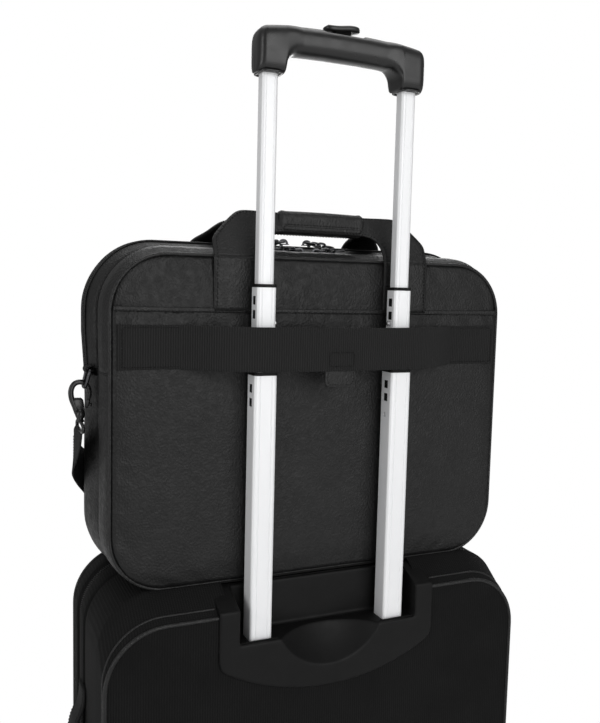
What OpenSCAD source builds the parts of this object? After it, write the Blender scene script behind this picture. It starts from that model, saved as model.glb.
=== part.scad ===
/* [Rolling case] */
// Width of the rolling case
case_w = 440; // [400:5:460]
// Height of the rolling case's top above the floor
case_top = 420; // [410:2:450]
// Depth of the rolling case's main compartment
case_d = 170; // [165:1:190]
// Depth of the pocket on its front
pocket_d = 28; // [20:1:36]
// Radius of the rolling case's corners
case_r = 54; // [45:1:60]
// Diameter of a wheel
wheel_dia = 64; // [60:1:66]

/* [Telescopic handle] */
// Distance between the centres of the two tubes
tube_pitch = 144; // [140:1:150]
// Width of the bottom stage's tube
stage_a_w = 22.5; // [22:0.5:23]
// Length of the bottom stage that shows above the well
stage_a_show = 255; // [245:1:256]
// Length of the middle stage that shows above the bottom stage
stage_b_show = 81; // [70:1:90]
// Length of the top stage that shows above the middle stage
stage_c_show = 189; // [180:1:190]
// Depth of the grip, front to back
grip_d = 31; // [28:1:31]

/* [Laptop case] */
// Width of the laptop case
bag_w = 415; // [400:1:430]
// Height of the laptop case
bag_h = 310; // [300:1:320]
// Depth of the laptop case
bag_d = 120; // [110:1:125]
// Radius of the laptop case's corners
bag_r = 52; // [40:1:60]
// Height of the handle sleeve's webbing
sleeve_h = 41; // [36:1:45]

/* [Hidden] */
$fn = 48;

// Gap left between soft parts that move past each other
soft_gap = 0.4;
// Gap between a bushing and the tube that slides in it
slide_gap = 0.15;

// Fore and aft: the wheels and the shoulder pad set the two ends
wheel_proud = 10;
pad_proud = 20;
back_y = wheel_proud - (wheel_proud + case_d + pocket_d + pad_proud) / 2;
panel_y = back_y + 36;
tube_y = panel_y - 21;
front_y = back_y + case_d;

// Rolling case heights
case_bottom = 36;
well_floor = case_top - 50;
ear_top = case_top - 16;
wall = 4;
back_t = 2.2;

// Tube stages: widths, depths and walls
tube_wall = 0.85;
stage_a_d = stage_a_w - 1.5;
stage_b_w = stage_a_w - 3.5;
stage_b_d = stage_a_d - 4;
stage_c_w = stage_b_w - 3.5;
stage_c_d = stage_b_d - 4;
outer_w = stage_a_w + 3.8;
outer_d = stage_a_d + 3.8;
collar_h = 3;
bushing_h = 30;
guide_h = 24;
stage_a_top = well_floor + stage_a_show - collar_h;
stage_b_top = stage_a_top + stage_b_show;
socket_z = stage_b_top + collar_h + stage_c_show - 1;
outer_bottom = 50;
outer_top = well_floor - wall;
stage_a_bottom = stage_a_top - 318;
stage_b_bottom = stage_b_top - 250;
stage_c_bottom = stage_b_top - 65;
pin_z = stage_b_top - 33;

// Grip
grip_w = 176;
socket_w = 30;

// Laptop case
bag_z = case_top + soft_gap;
bag_top = bag_z + bag_h;
bag_wall = 3;
rear_d = 50;
sleeve_z = bag_z + 206;
sleeve_t = 2;
sleeve_stitch = 142;
pocket_edge_z = bag_z + 261;
handle_in = 64;
handle_out = 115;
handle_hinge_z = bag_top + 1;
rear_hinge_y = panel_y - 2;
front_hinge_y = panel_y + bag_d - 12;
rear_bar_y = panel_y + 16;
front_bar_y = panel_y + 31;
bar_z = bag_z + 345;
lug_y = panel_y + 60;
lug_z = bag_z + 201;

// Wheels
wheel_r = wheel_dia / 2;
wheel_w = 24;
wheel_x = case_w / 2 - 34;
wheel_y = back_y + wheel_r - wheel_proud;
axle_r = 3;

// Shoulder strap: half of its route, from the left hook to the middle of the loop, with the
// direction that its flat side faces. The other half is its mirror image.
strap_half = [
    [[-226, -8, 565], [-1, 0]], [[-227, -7, 557], [-1, 0]], [[-233, 4, 540], [-1, 0.15]], [[-233, 24, 520], [-1, 0.3]],
    [[-228, 42, 494], [-1, 0.6]], [[-216, 57, 470], [-0.8, 1]], [[-200, 68, 449], [-0.5, 1]],
    [[-184, 78, 431], [-0.3, 1]], [[-170, 92, 412], [-0.15, 1]], [[-158, 101, 385], [0, 1]],
    [[-146, 103, 350], [0, 1]], [[-130, 103, 315], [0, 1]], [[-105, 103, 283], [0, 1]],
    [[-72, 103, 262], [0, 1]], [[-36, 103, 251], [0, 1]], [[0, 103, 248], [0, 1]]
];
strap_w = 36;
strap_t = 2;

// ---- shared shapes ----

// Rounded rectangle about the origin
module rounded_rect(w, h, r) {
    square([w - 2 * r, h], center = true);
    square([w, h - 2 * r], center = true);
    for (x = [-1, 1], y = [-1, 1])
        translate([x * (w / 2 - r), y * (h / 2 - r)]) circle(r);
}

// Plate standing in the XZ plane, from y0 to y1, its outline centred at height z
module upright(y0, y1, z) {
    translate([0, y1, z]) rotate([90, 0, 0]) linear_extrude(y1 - y0) children();
}

// Ring standing in the XZ plane
module upright_ring(y0, y1, z, w, h, r, t) {
    upright(y0, y1, z) difference() {
        rounded_rect(w, h, r);
        rounded_rect(w - 2 * t, h - 2 * t, r - t);
    }
}

// Both tubes' places
module at_tubes() {
    for (side = [-1, 1]) translate([side * tube_pitch / 2, tube_y, 0]) children();
}

// Hollow rectangular tube along Z
module tube_profile(w, d, t, r) {
    difference() {
        rounded_rect(w, d, r);
        rounded_rect(w - 2 * t, d - 2 * t, max(r - t, 0.4));
    }
}

// Windows in the sides of a tube, below its top
module side_windows(top, w, first) {
    for (drop = [first, first + 13])
        translate([-w / 2 - 1, -3.5, top - drop - 4]) cube([w + 2, 7, 8]);
}

// Shallow grooves along a tube's front and back faces
module face_flutes(w, d, z0, z1) {
    for (x = [-0.26, 0.26], y = [-1, 1])
        translate([x * w, y * (d / 2 + 0.35), z0 - 1]) cylinder(r = 0.7, h = z1 - z0 + 2);
}

module stage_tube(w, d, z0, z1, window_drop) {
    difference() {
        translate([0, 0, z0]) linear_extrude(z1 - z0) tube_profile(w, d, tube_wall, 3);
        side_windows(z1, w, window_drop);
        face_flutes(w, d, z0, z1);
    }
}

// Bushing in a tube's top: a sleeve with a collar, and lugs that fill the tube's windows
module top_bushing(w, d, inner_w, inner_d, top, window_drop) {
    hole_w = inner_w + 2 * slide_gap;
    hole_d = inner_d + 2 * slide_gap;
    difference() {
        union() {
            translate([0, 0, top - bushing_h]) linear_extrude(bushing_h)
                rounded_rect(w - 2 * tube_wall, d - 2 * tube_wall, 2.15);
            translate([0, 0, top]) linear_extrude(collar_h) rounded_rect(w + 0.8, d + 0.8, 3.4);
            for (side = [-1, 1], drop = [window_drop, window_drop + 13])
                translate([side * (w / 2 - tube_wall / 2 - 0.25) - tube_wall / 2, -3.2, top - drop - 3.7])
                    cube([tube_wall, 6.4, 7.4]);
        }
        translate([0, 0, top - bushing_h - 1]) linear_extrude(bushing_h + collar_h + 2)
            rounded_rect(hole_w, hole_d, 3);
    }
}

// Guide sleeve round the bottom end of an inner tube
module bottom_guide(w, d, room_w, room_d, z0) {
    translate([0, 0, z0]) linear_extrude(guide_h) difference() {
        rounded_rect(room_w - 2 * slide_gap, room_d - 2 * slide_gap, 2.4);
        rounded_rect(w, d, 3);
    }
}

// ---- rolling case ----

case_h = case_top - case_bottom;
case_mid = (case_top + case_bottom) / 2;

// Body of the case: its rear edge slopes in to the smaller back panel
module case_block(inset, extra) {
    hull() {
        upright(back_y + back_t - extra, back_y + back_t + 1, case_mid - 11)
            rounded_rect(case_w - 4 - 2 * inset, case_h - 22 - 2 * inset, case_r - inset);
        upright(back_y + 34, back_y + 35, case_mid)
            rounded_rect(case_w - 2 * inset, case_h - 2 * inset, case_r - inset);
    }
    upright(back_y + 34.9, front_y - 6 + extra, case_mid)
        rounded_rect(case_w - 2 * inset, case_h - 2 * inset, case_r - inset);
}

// Rear corners, where the wheel housings sit
module housing_room() {
    for (side = [-1, 1])
        translate([side * (wheel_x + 4) - 32, back_y - 20, 0]) cube([64, 84, 92]);
}

// Room for the moulded handle well, behind its face plate
module bezel_room() {
    translate([-bezel_w / 2 - 0.2, back_y - 20, well_floor - wall - 0.2])
        cube([bezel_w + 0.4, 56.2, 100]);
    intersection() {
        scoop_ball(3.2);
        translate([-70, back_y - 5, case_top - 110]) cube([140, 40, 70]);
    }
}

module case_gusset() {
    color([0.07, 0.07, 0.07]) difference() {
        case_block(0, 0);
        case_block(5, 1);
        housing_room();
        bezel_room();
    }
}

module case_back_panel() {
    color([0.07, 0.07, 0.07]) difference() {
        upright(back_y, back_y + back_t, case_mid - 11)
            rounded_rect(case_w - 4, case_h - 22, case_r);
        housing_room();
        bezel_room();
    }
}

module case_front_panel() {
    color([0.07, 0.07, 0.07])
        upright(front_y - 6, front_y, case_mid) rounded_rect(case_w, case_h, case_r);
}

pocket_w = 380;
pocket_top = case_top - 70;
pocket_h = pocket_top - 60;
module front_pocket() {
    color([0.08, 0.08, 0.08]) difference() {
        upright(front_y, front_y + pocket_d, pocket_top - pocket_h / 2)
            rounded_rect(pocket_w, pocket_h, 26);
        upright(front_y - 1, front_y + pocket_d - 4, pocket_top - pocket_h / 2)
            rounded_rect(pocket_w - 8, pocket_h - 8, 22);
    }
}

module case_piping() {
    color([0.05, 0.05, 0.05]) {
        difference() {
            upright_ring(back_y, back_y + back_t, case_mid - 11, case_w - 1, case_h - 19, case_r + 1.5, 1.5);
            housing_room();
            bezel_room();
        }
        upright_ring(front_y - 5, front_y - 1.5, case_mid, case_w + 3, case_h + 3, case_r + 1.5, 1.5);
    }
}

case_zip_y = front_y - 36;
module case_zip_tape() {
    color([0.03, 0.03, 0.03]) difference() {
        upright_ring(case_zip_y - 8, case_zip_y + 8, case_mid, case_w + 1.6, case_h + 1.6, case_r + 0.8, 0.8);
        translate([-300, case_zip_y - 10, 0]) cube([600, 20, 110]);
        translate([-170, case_zip_y - 10, case_top - 5]) cube([340, 20, 10]);
    }
}

module lining_board() {
    color([0.12, 0.12, 0.12]) difference() {
        upright(back_y + 41, back_y + 43, case_mid) rounded_rect(case_w - 12, case_h - 12, case_r - 6);
        housing_room();
    }
}

// Moulded well that the handle sinks into, with a scoop for the fingers
bezel_w = 230;
well_w = 190;
scoop_r = 75;
scoop_out = 45;
module scoop_ball(thicker) {
    translate([0, back_y - 2 - scoop_out, case_top - 23]) sphere(scoop_r + thicker, $fn = 96);
}

module bezel_outline() {
    intersection() {
        offset(r = 14) offset(delta = -14) intersection() {
            translate([-bezel_w / 2, -200]) square([bezel_w, 230]);
            translate([0, 113]) circle(r = 218, $fn = 96);
        }
        translate([-bezel_w / 2, -200]) square([bezel_w, 200 - 16]);
    }
}

module bezel_face() {
    upright(back_y - 2, back_y, case_top) difference() {
        bezel_outline();
        translate([-well_w / 2, -50]) square([well_w, 60]);
    }
}

module bezel_side(side) {
    x0 = side > 0 ? well_w / 2 : -bezel_w / 2;
    w = (bezel_w - well_w) / 2;
    translate([x0, 0, 0]) rotate([90, 0, 90]) linear_extrude(w)
        polygon([[back_y, well_floor - wall], [back_y, ear_top], [back_y + 30, case_top - 4],
                 [back_y + 36, case_top - 3], [back_y + 36, well_floor - wall]]);
}

module handle_bezel() {
    color([0.13, 0.13, 0.13]) difference() {
        union() {
            bezel_face();
            for (side = [-1, 1]) bezel_side(side);
            translate([-well_w / 2, back_y, well_floor - wall]) cube([well_w, 36, wall]);
            translate([-well_w / 2, back_y + 32, well_floor]) cube([well_w, 4, case_top - 4 - well_floor]);
            intersection() {
                scoop_ball(3);
                translate([-70, back_y, case_top - 100]) cube([140, 32, 50]);
            }
        }
        scoop_ball(0);
        at_tubes() translate([0, 0, well_floor - 10]) linear_extrude(20)
            rounded_rect(stage_a_w + 0.8, stage_a_d + 0.8, 3.4);
    }
}

module outer_tubes() {
    color([0.62, 0.63, 0.65]) at_tubes() {
        translate([0, 0, outer_bottom]) linear_extrude(outer_top - outer_bottom)
            tube_profile(outer_w, outer_d, 1, 3.5);
        translate([0, 0, outer_top - bushing_h]) linear_extrude(bushing_h) difference() {
            rounded_rect(outer_w - 2, outer_d - 2, 2.5);
            rounded_rect(stage_a_w + 2 * slide_gap, stage_a_d + 2 * slide_gap, 3);
        }
    }
}

module tube_foot_bracket() {
    color([0.3, 0.3, 0.31])
        translate([-95, back_y + 7, 42]) cube([190, 30, 8]);
}

module base_tray() {
    color([0.11, 0.11, 0.11])
        translate([-150, back_y + 6, 28]) cube([300, case_d - 14, 8]);
}

// ---- wheels ----

house_in = wheel_x - 24;
house_out = wheel_x + 28;
module housing(side) {
    length = house_out - house_in;
    translate([side > 0 ? house_in : -house_out, 0, 0]) difference() {
        translate([0, back_y - 2, 16]) cube([length, 62, 68]);
        translate([side > 0 ? 24 - wheel_w / 2 - 1.5 : 28 - wheel_w / 2 - 1.5, 0, 0]) {
            translate([0, wheel_y, wheel_r]) rotate([0, 90, 0]) cylinder(r = wheel_r + 4, h = wheel_w + 3);
            translate([0, back_y - 20, -5]) cube([wheel_w + 3, 20 + wheel_r * 2 - wheel_proud + 4, wheel_r + 5]);
            translate([0, back_y - 20, 0]) cube([wheel_w + 3, 25, wheel_r + 26]);
        }
        translate([-1, wheel_y, wheel_r]) rotate([0, 90, 0]) cylinder(r = axle_r, h = length + 2);
    }
}

module wheel_housings() {
    color([0.11, 0.11, 0.11]) for (side = [-1, 1]) housing(side);
}

module wheel_axles() {
    color([0.5, 0.5, 0.52]) for (side = [-1, 1])
        translate([side > 0 ? house_in : -house_out, wheel_y, wheel_r]) rotate([0, 90, 0])
            cylinder(r = axle_r, h = house_out - house_in);
}

module at_wheel(side) {
    translate([side * wheel_x, wheel_y, wheel_r]) rotate([0, 90, 0]) children();
}

module tyre() {
    rotate_extrude($fn = 96) difference() {
        translate([22, -wheel_w / 2]) square([wheel_r - 22 - 3, wheel_w]);
        translate([21, -3]) square([3, 6]);
    }
    rotate_extrude($fn = 96) translate([wheel_r - 3.01, -wheel_w / 2 + 3])
        square([3.01, wheel_w - 6]);
    for (z = [-1, 1]) translate([0, 0, z * (wheel_w / 2 - 3)])
        rotate_extrude($fn = 96) translate([wheel_r - 3, 0]) intersection() {
            circle(3);
            translate([0, z > 0 ? 0 : -3]) square(3);
        }
}

module hub() {
    difference() {
        rotate_extrude($fn = 96) {
            translate([axle_r + 0.05, -wheel_w / 2 - 0.6]) square([7, wheel_w + 1.2]);
            translate([axle_r + 6, -3]) square([13, 6]);
            translate([18, -wheel_w / 2 + 1]) square([4, wheel_w - 2]);
            translate([21, -3]) square([3, 6]);
        }
        for (k = [0:4]) rotate([0, 0, k * 72]) translate([14, 0, -4]) cylinder(r = 3, h = 8);
    }
}

module wheel_left_tyre() { color([0.06, 0.06, 0.06]) at_wheel(-1) tyre(); }
module wheel_right_tyre() { color([0.06, 0.06, 0.06]) at_wheel(1) tyre(); }
module wheel_left_hub() { color([0.35, 0.35, 0.36]) at_wheel(-1) hub(); }
module wheel_right_hub() { color([0.35, 0.35, 0.36]) at_wheel(1) hub(); }

module front_feet() {
    color([0.1, 0.1, 0.1]) for (side = [-1, 1]) translate([side * 130, front_y - 24, 0]) {
        cylinder(r1 = 11, r2 = 13, h = 10);
        translate([0, 0, 10]) cylinder(r = 16, h = 18);
    }
}

module housing_screws() {
    color([0.4, 0.4, 0.42]) for (side = [-1, 1], z = [24, 76])
        translate([side * (house_in + 5), back_y - 2, z]) rotate([90, 0, 0]) cylinder(r = 3, h = 1.6);
}

grab_y = back_y + 104;
module side_grab_handle() {
    color([0.04, 0.04, 0.04])
        translate([-case_w / 2, grab_y + 15, 0]) rotate([90, 0, 0]) linear_extrude(30) polygon([
            [0, 306], [-2.5, 306], [-3, 290], [-13, 272], [-15, 250], [-15, 210], [-13, 188], [-3, 170],
            [-2.5, 154], [0, 154], [0, 172], [-10, 190], [-12, 211], [-12, 249], [-10, 270], [0, 288]
        ]);
}

// Zip sliders of the rolling case run up and down its right side
module case_zip_slider(z, up) {
    x = case_w / 2 + 0.8 + soft_gap;
    translate([x, case_zip_y, z]) {
        translate([0, -4.5, -6]) cube([4.4, 9, 12]);
        translate([4.4, -1.5, -3]) cube([2.2, 3, 6]);
        translate([6.6, -4, up > 0 ? -2 : -26]) cube([1.6, 8, 28]);
    }
}
module case_zip_slider_upper() { color([0.2, 0.2, 0.21]) case_zip_slider(300, 1); }
module case_zip_slider_lower() { color([0.2, 0.2, 0.21]) case_zip_slider(285, -1); }

// ---- telescopic handle ----

module stage_a_tubes() {
    color([0.85, 0.85, 0.86]) difference() {
        at_tubes() stage_tube(stage_a_w, stage_a_d, stage_a_bottom, stage_a_top, 12.5);
        for (side = [-1, 1])
            translate([side * (tube_pitch / 2 - stage_a_w / 2), tube_y, stage_a_top - 43])
                rotate([0, 90, 0]) cylinder(r = 2.6, h = 6, center = true);
    }
}

module stage_a_bushings() {
    color([0.05, 0.05, 0.05]) at_tubes() {
        top_bushing(stage_a_w, stage_a_d, stage_b_w, stage_b_d, stage_a_top, 12.5);
        bottom_guide(stage_a_w, stage_a_d, outer_w - 2, outer_d - 2, stage_a_bottom);
    }
}

module stage_b_tubes() {
    color([0.86, 0.86, 0.87]) difference() {
        at_tubes() stage_tube(stage_b_w, stage_b_d, stage_b_bottom, stage_b_top, 12);
        for (side = [-1, 1])
            translate([side * (tube_pitch / 2 - stage_b_w / 2), tube_y, pin_z])
                rotate([0, 90, 0]) cylinder(r = 2.6, h = 6, center = true);
    }
}

module stage_b_bushings() {
    color([0.05, 0.05, 0.05]) at_tubes() {
        top_bushing(stage_b_w, stage_b_d, stage_c_w, stage_c_d, stage_b_top, 12);
        bottom_guide(stage_b_w, stage_b_d, stage_a_w - 2 * tube_wall, stage_a_d - 2 * tube_wall, stage_b_bottom);
    }
}

module stage_c_tubes() {
    color([0.87, 0.87, 0.88]) at_tubes() difference() {
        translate([0, 0, stage_c_bottom]) linear_extrude(socket_z + 15 - stage_c_bottom)
            tube_profile(stage_c_w, stage_c_d, tube_wall, 3);
        face_flutes(stage_c_w, stage_c_d, stage_c_bottom, socket_z + 15);
    }
}

// Plug in the bottom of the top stage, with the guide that runs in the middle stage
module stage_c_plugs() {
    color([0.06, 0.06, 0.06]) at_tubes() {
        bottom_guide(stage_c_w, stage_c_d, stage_b_w - 2 * tube_wall, stage_b_d - 2 * tube_wall, stage_c_bottom);
        translate([0, 0, stage_c_bottom - 6]) linear_extrude(6)
            rounded_rect(stage_c_w - 1, stage_c_d - 1, 2);
        translate([0, 0, stage_c_bottom]) linear_extrude(20)
            rounded_rect(stage_c_w - 2 * tube_wall, stage_c_d - 2 * tube_wall, 2.15);
    }
}

// Sprung pins that lock the top stage in the middle one
module latch_pins() {
    color([0.7, 0.7, 0.7]) for (side = [-1, 1])
        translate([side * (tube_pitch / 2 - stage_c_w / 2), tube_y, pin_z])
            rotate([0, -side * 90, 0]) {
                cylinder(r = 2.3, h = 4);
                translate([0, 0, 4]) cylinder(r1 = 2.3, r2 = 1.5, h = 0.8);
            }
}

// Room inside the grip for the release bar
bar_room = [2 * (tube_pitch / 2 + 6), 12, 14];
grip_bar_z = socket_z + 19;
module grip_outline() {
    intersection() {
        translate([0, 20]) rounded_rect(grip_w, 48, 14);
        translate([0, 46 - 360]) circle(r = 360, $fn = 180);
        difference() {
            translate([-100, 0]) square([200, 60]);
            translate([0, 0]) difference() {
                translate([-grip_w / 2 + socket_w, -10]) square([grip_w - 2 * socket_w, 28]);
                for (x = [-1, 1]) translate([x * (grip_w / 2 - socket_w), 18]) difference() {
                    translate([-10, -10]) square([20, 10]);
                    translate([-x * 10, -10]) circle(10);
                }
            }
        }
    }
}

module grip() {
    color([0.1, 0.1, 0.1]) difference() {
        intersection() {
            translate([0, tube_y + grip_d / 2, socket_z]) rotate([90, 0, 0])
                linear_extrude(grip_d) grip_outline();
            translate([-100, tube_y, socket_z + 19]) rotate([90, 0, 90])
                linear_extrude(200) rounded_rect(grip_d, 58, 11);
            translate([0, tube_y, socket_z - 1]) linear_extrude(60) rounded_rect(grip_w, grip_d, 12);
        }
        at_tubes() translate([0, 0, socket_z - 1]) linear_extrude(16)
            rounded_rect(stage_c_w, stage_c_d, 3);
        translate([-bar_room[0] / 2, tube_y - 6, grip_bar_z]) cube(bar_room);
        at_tubes() translate([0, 0, socket_z + 14]) cylinder(r = 4.5, h = 8);
        translate([-9, tube_y - 5, grip_bar_z + 10]) cube([18, 10, 30]);
    }
}

module button_spring() {
    color([0.75, 0.75, 0.77]) for (side = [-1, 1])
        translate([side * 30, tube_y, grip_bar_z]) rotate_extrude()
            polygon([[2.6, 0], [3.4, 0], [3.8, 1], [3.4, 2], [3.8, 3], [3.4, 4], [3.4, 4.6], [2.6, 4.6],
                     [2.6, 4], [3, 3], [2.6, 2], [3, 1]]);
}

module release_button() {
    color([0.12, 0.12, 0.12]) {
        translate([-8.7, tube_y - 4.7, grip_bar_z + 9.6]) cube([17.4, 9.4, 20.9]);
        translate([0, tube_y + 7, grip_bar_z + 30.5]) rotate([90, 0, 0]) linear_extrude(14)
            polygon([[-18, 2], [-14, 0], [14, 0], [18, 2], [17, 5], [8, 5.5], [0, 5.5], [-8, 6], [-15, 5.6]]);
    }
}

module release_rods() {
    color([0.55, 0.55, 0.57]) {
        translate([-tube_pitch / 2 - 4, tube_y - 4, grip_bar_z + 4.6]) cube([tube_pitch + 8, 8, 5]);
        at_tubes() translate([0, 0, stage_c_bottom + 26]) cylinder(r = 3, h = grip_bar_z + 5 - stage_c_bottom - 26);
    }
}

// ---- laptop case ----

bag_mid = bag_z + bag_h / 2;

module bag_back_panel() {
    color([0.09, 0.09, 0.09])
        upright(panel_y, panel_y + 4, bag_mid) rounded_rect(bag_w, bag_h, bag_r);
}

slip_t = 2.4;
module slip_pocket() {
    color([0.1, 0.1, 0.1]) intersection() {
        upright(panel_y - slip_t, panel_y, bag_mid) rounded_rect(bag_w - 4, bag_h - 4, bag_r - 2);
        translate([-300, panel_y - 10, bag_z]) cube([600, 20, pocket_edge_z - bag_z]);
    }
}

// Webbing sleeve that slips over the handle: sewn down outside the stitch lines
sleeve_path = [
    [bag_w / 2 - 5, 0], [sleeve_stitch, 0], [92, -34.4], [22, -37.8], [-22, -37.8], [-92, -34.4],
    [-sleeve_stitch, 0], [-bag_w / 2 + 5, 0], [-bag_w / 2 + 5, -sleeve_t], [-sleeve_stitch - 1, -sleeve_t],
    [-93, -34.4 - sleeve_t], [-22, -37.8 - sleeve_t], [22, -37.8 - sleeve_t], [93, -34.4 - sleeve_t],
    [sleeve_stitch + 1, -sleeve_t], [bag_w / 2 - 5, -sleeve_t]
];
module handle_sleeve() {
    color([0.05, 0.05, 0.05])
        translate([0, panel_y - slip_t, sleeve_z]) linear_extrude(sleeve_h) polygon(sleeve_path);
}

module pull_tab() {
    color([0.12, 0.12, 0.12])
        upright(panel_y - slip_t - 37.8, panel_y - slip_t - 35.6, sleeve_z + 8) rounded_rect(32, 48, 6);
}

module bag_rear_gusset() {
    color([0.09, 0.09, 0.09])
        upright_ring(panel_y + 4, panel_y + rear_d, bag_mid, bag_w, bag_h, bag_r, bag_wall);
}

module bag_divider() {
    color([0.15, 0.15, 0.15])
        upright(panel_y + rear_d, panel_y + rear_d + 3, bag_mid) rounded_rect(bag_w, bag_h, bag_r);
}

module bag_main_gusset() {
    color([0.09, 0.09, 0.09])
        upright_ring(panel_y + rear_d + 3, panel_y + bag_d - 4, bag_mid, bag_w, bag_h, bag_r, bag_wall);
}

module bag_front_panel() {
    color([0.09, 0.09, 0.09])
        upright(panel_y + bag_d - 4, panel_y + bag_d, bag_mid) rounded_rect(bag_w, bag_h, bag_r);
}

// Piping stops short of the underside, so that it clears what the case stands on
module bag_piping() {
    color([0.05, 0.05, 0.05]) for (y = [panel_y, panel_y + bag_d - 3]) difference() {
        upright_ring(y, y + 3, bag_mid, bag_w + 3, bag_h + 3, bag_r + 1.5, 1.5);
        translate([-300, y - 1, bag_z - 5]) cube([600, 8, 15]);
    }
}

rear_zip_y = panel_y + 42;
main_zip_y = panel_y + 76;
zip_w = 12;
zip_end_z = bag_z + 200;
module bag_zip_tapes() {
    color([0.03, 0.03, 0.03]) for (y = [rear_zip_y, main_zip_y]) difference() {
        upright_ring(y - zip_w / 2, y + zip_w / 2, bag_mid, bag_w + 1.6, bag_h + 1.6, bag_r + 0.8, 0.8);
        translate([-300, y - 10, bag_z - 5]) cube([600, 20, zip_end_z - bag_z + 5]);
    }
}

// The carry handles' lower ends, sewn to the back and the front panel
module handle_legs() {
    color([0.1, 0.1, 0.1]) for (side = [-1, 1]) {
        translate([side * (handle_in + handle_out) / 2 - 25, panel_y - 3, pocket_edge_z])
            cube([50, 3, handle_hinge_z - 4 - pocket_edge_z]);
        translate([side * (handle_in + handle_out) / 2 - 25, panel_y + bag_d, pocket_edge_z])
            cube([50, 3, handle_hinge_z - 14 - pocket_edge_z]);
    }
}

// Upper part of a carry handle: legs that lean to the bar, as one strip of leather.
// The profile is drawn in its own plane, from the hinge line at [0, 0] up to the bar.
module handle_band(length, rise) {
    half = [[handle_out, 0], [handle_out, length - 24], [handle_out - 24, length]];
    inner = [[handle_in - 14, length - rise], [handle_in, length - rise - 14], [handle_in, 0]];
    polygon(concat(half, [for (k = [2:-1:0]) [-half[k][0], half[k][1]]],
                   [for (k = [2:-1:0]) [-inner[k][0], inner[k][1]]], inner));
}

module leaning_band(y0, z0, y1, z1, rise) {
    length = sqrt(pow(y1 - y0, 2) + pow(z1 - z0, 2));
    lean = atan2(y1 - y0, z1 - z0);
    translate([0, y0, z0]) rotate([90 - lean, 0, 0]) translate([0, 0, -1.5])
        linear_extrude(3) handle_band(length, rise);
}

module rear_handle() {
    color([0.1, 0.1, 0.1])
        leaning_band(rear_hinge_y, handle_hinge_z, rear_bar_y, bar_z + 11, 22);
}

module handle_wrap() {
    color([0.13, 0.13, 0.13]) difference() {
        upright(rear_bar_y - 9, rear_bar_y + 6, bar_z - 1) rounded_rect(92, 26, 6);
        leaning_band(rear_hinge_y, handle_hinge_z, rear_bar_y, bar_z + 11, 24);
    }
}

module front_handle() {
    color([0.1, 0.1, 0.1])
        leaning_band(front_hinge_y, handle_hinge_z + 4, front_bar_y, bar_z + 2, 24);
}

// ---- zips of the laptop case ----

zip_top = bag_top + 0.8 + soft_gap;
module zip_slider_body(x, y) {
    translate([x, y, zip_top]) {
        translate([-6, -4, 0]) cube([12, 8, 3.6]);
        difference() {
            translate([-2.5, -1.5, 3.6]) cube([5, 3, 3.6]);
            translate([0, -3, 5.4]) rotate([-90, 0, 0]) cylinder(r = 1, h = 6);
        }
    }
}

module zip_pull_body(x, y, dir) {
    translate([x, y, zip_top + 5.4]) {
        rotate([-90, 0, 0]) translate([0, 0, -3.4]) cylinder(r = 0.9, h = 6.8);
        for (side = [-1, 1]) translate([dir > 0 ? 0 : -10, side * 2.6 - 0.8, -0.9]) cube([10, 1.6, 1.8]);
        translate([dir > 0 ? 9.4 : -29.4, -4, -0.9]) cube([20, 8, 1.8]);
    }
}

rear_slider_x = 10;
module rear_zip_slider_left() { color([0.2, 0.2, 0.21]) zip_slider_body(-rear_slider_x, rear_zip_y); }
module rear_zip_slider_right() { color([0.2, 0.2, 0.21]) zip_slider_body(rear_slider_x, rear_zip_y); }
module rear_zip_pull_left() { color([0.22, 0.22, 0.23]) zip_pull_body(-rear_slider_x, rear_zip_y, -1); }
module rear_zip_pull_right() { color([0.22, 0.22, 0.23]) zip_pull_body(rear_slider_x, rear_zip_y, 1); }
module main_zip_slider_left() {
    color([0.2, 0.2, 0.21]) {
        zip_slider_body(-rear_slider_x - 4, main_zip_y);
        zip_pull_body(-rear_slider_x - 4, main_zip_y, -1);
    }
}
module main_zip_slider_right() {
    color([0.2, 0.2, 0.21]) {
        zip_slider_body(rear_slider_x + 4, main_zip_y);
        zip_pull_body(rear_slider_x + 4, main_zip_y, 1);
    }
}

// ---- shoulder strap and its hooks ----

module both_sides() {
    for (side = [-1, 1]) mirror([side > 0 ? 1 : 0, 0, 0]) children();
}

module strap_lugs() {
    color([0.06, 0.06, 0.06]) both_sides() difference() {
        translate([-bag_w / 2 - 15, lug_y - 8.5, lug_z - 8]) cube([15, 17, 16]);
        translate([-bag_w / 2 - 10, lug_y + 20, lug_z]) rotate([90, 0, 0]) cylinder(r = 2.4, h = 40);
    }
}

ring_x = -bag_w / 2 - 10;
ring_tilt = 15;
module d_rings() {
    color([0.25, 0.25, 0.26]) both_sides() translate([ring_x, lug_y, lug_z]) rotate([0, ring_tilt, 0]) {
        rotate([90, 0, 0]) translate([0, 0, -12]) cylinder(r = 1.6, h = 24);
        for (y = [-10.4, 10.4]) translate([0, y, -17]) cylinder(r = 1.6, h = 17);
        translate([0, 12, -17]) rotate([90, 0, 0]) cylinder(r = 1.6, h = 24);
    }
}

hook_top = lug_z - 16;
hook_x = ring_x - 8;
module hook_outline() {
    difference() {
        union() {
            translate([0, -6]) circle(12.5);
            polygon([[-12.3, -8], [-6, -28], [5, -28], [5, -18], [12, -10]]);
        }
        translate([0, -6]) circle(8.5);
        polygon([[-6, -8], [2, -22], [14, -14], [14, -8]]);
    }
}
module snap_hooks() {
    color([0.05, 0.05, 0.05]) both_sides() translate([hook_x, lug_y, hook_top]) {
        translate([0, 2.2, 0]) rotate([90, 0, 0]) linear_extrude(4.4) hook_outline();
        translate([0, 0, -34]) cylinder(r = 4.5, h = 6.5);
        translate([0, 0, -38]) cylinder(r = 6.5, h = 4.2);
    }
}

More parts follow.
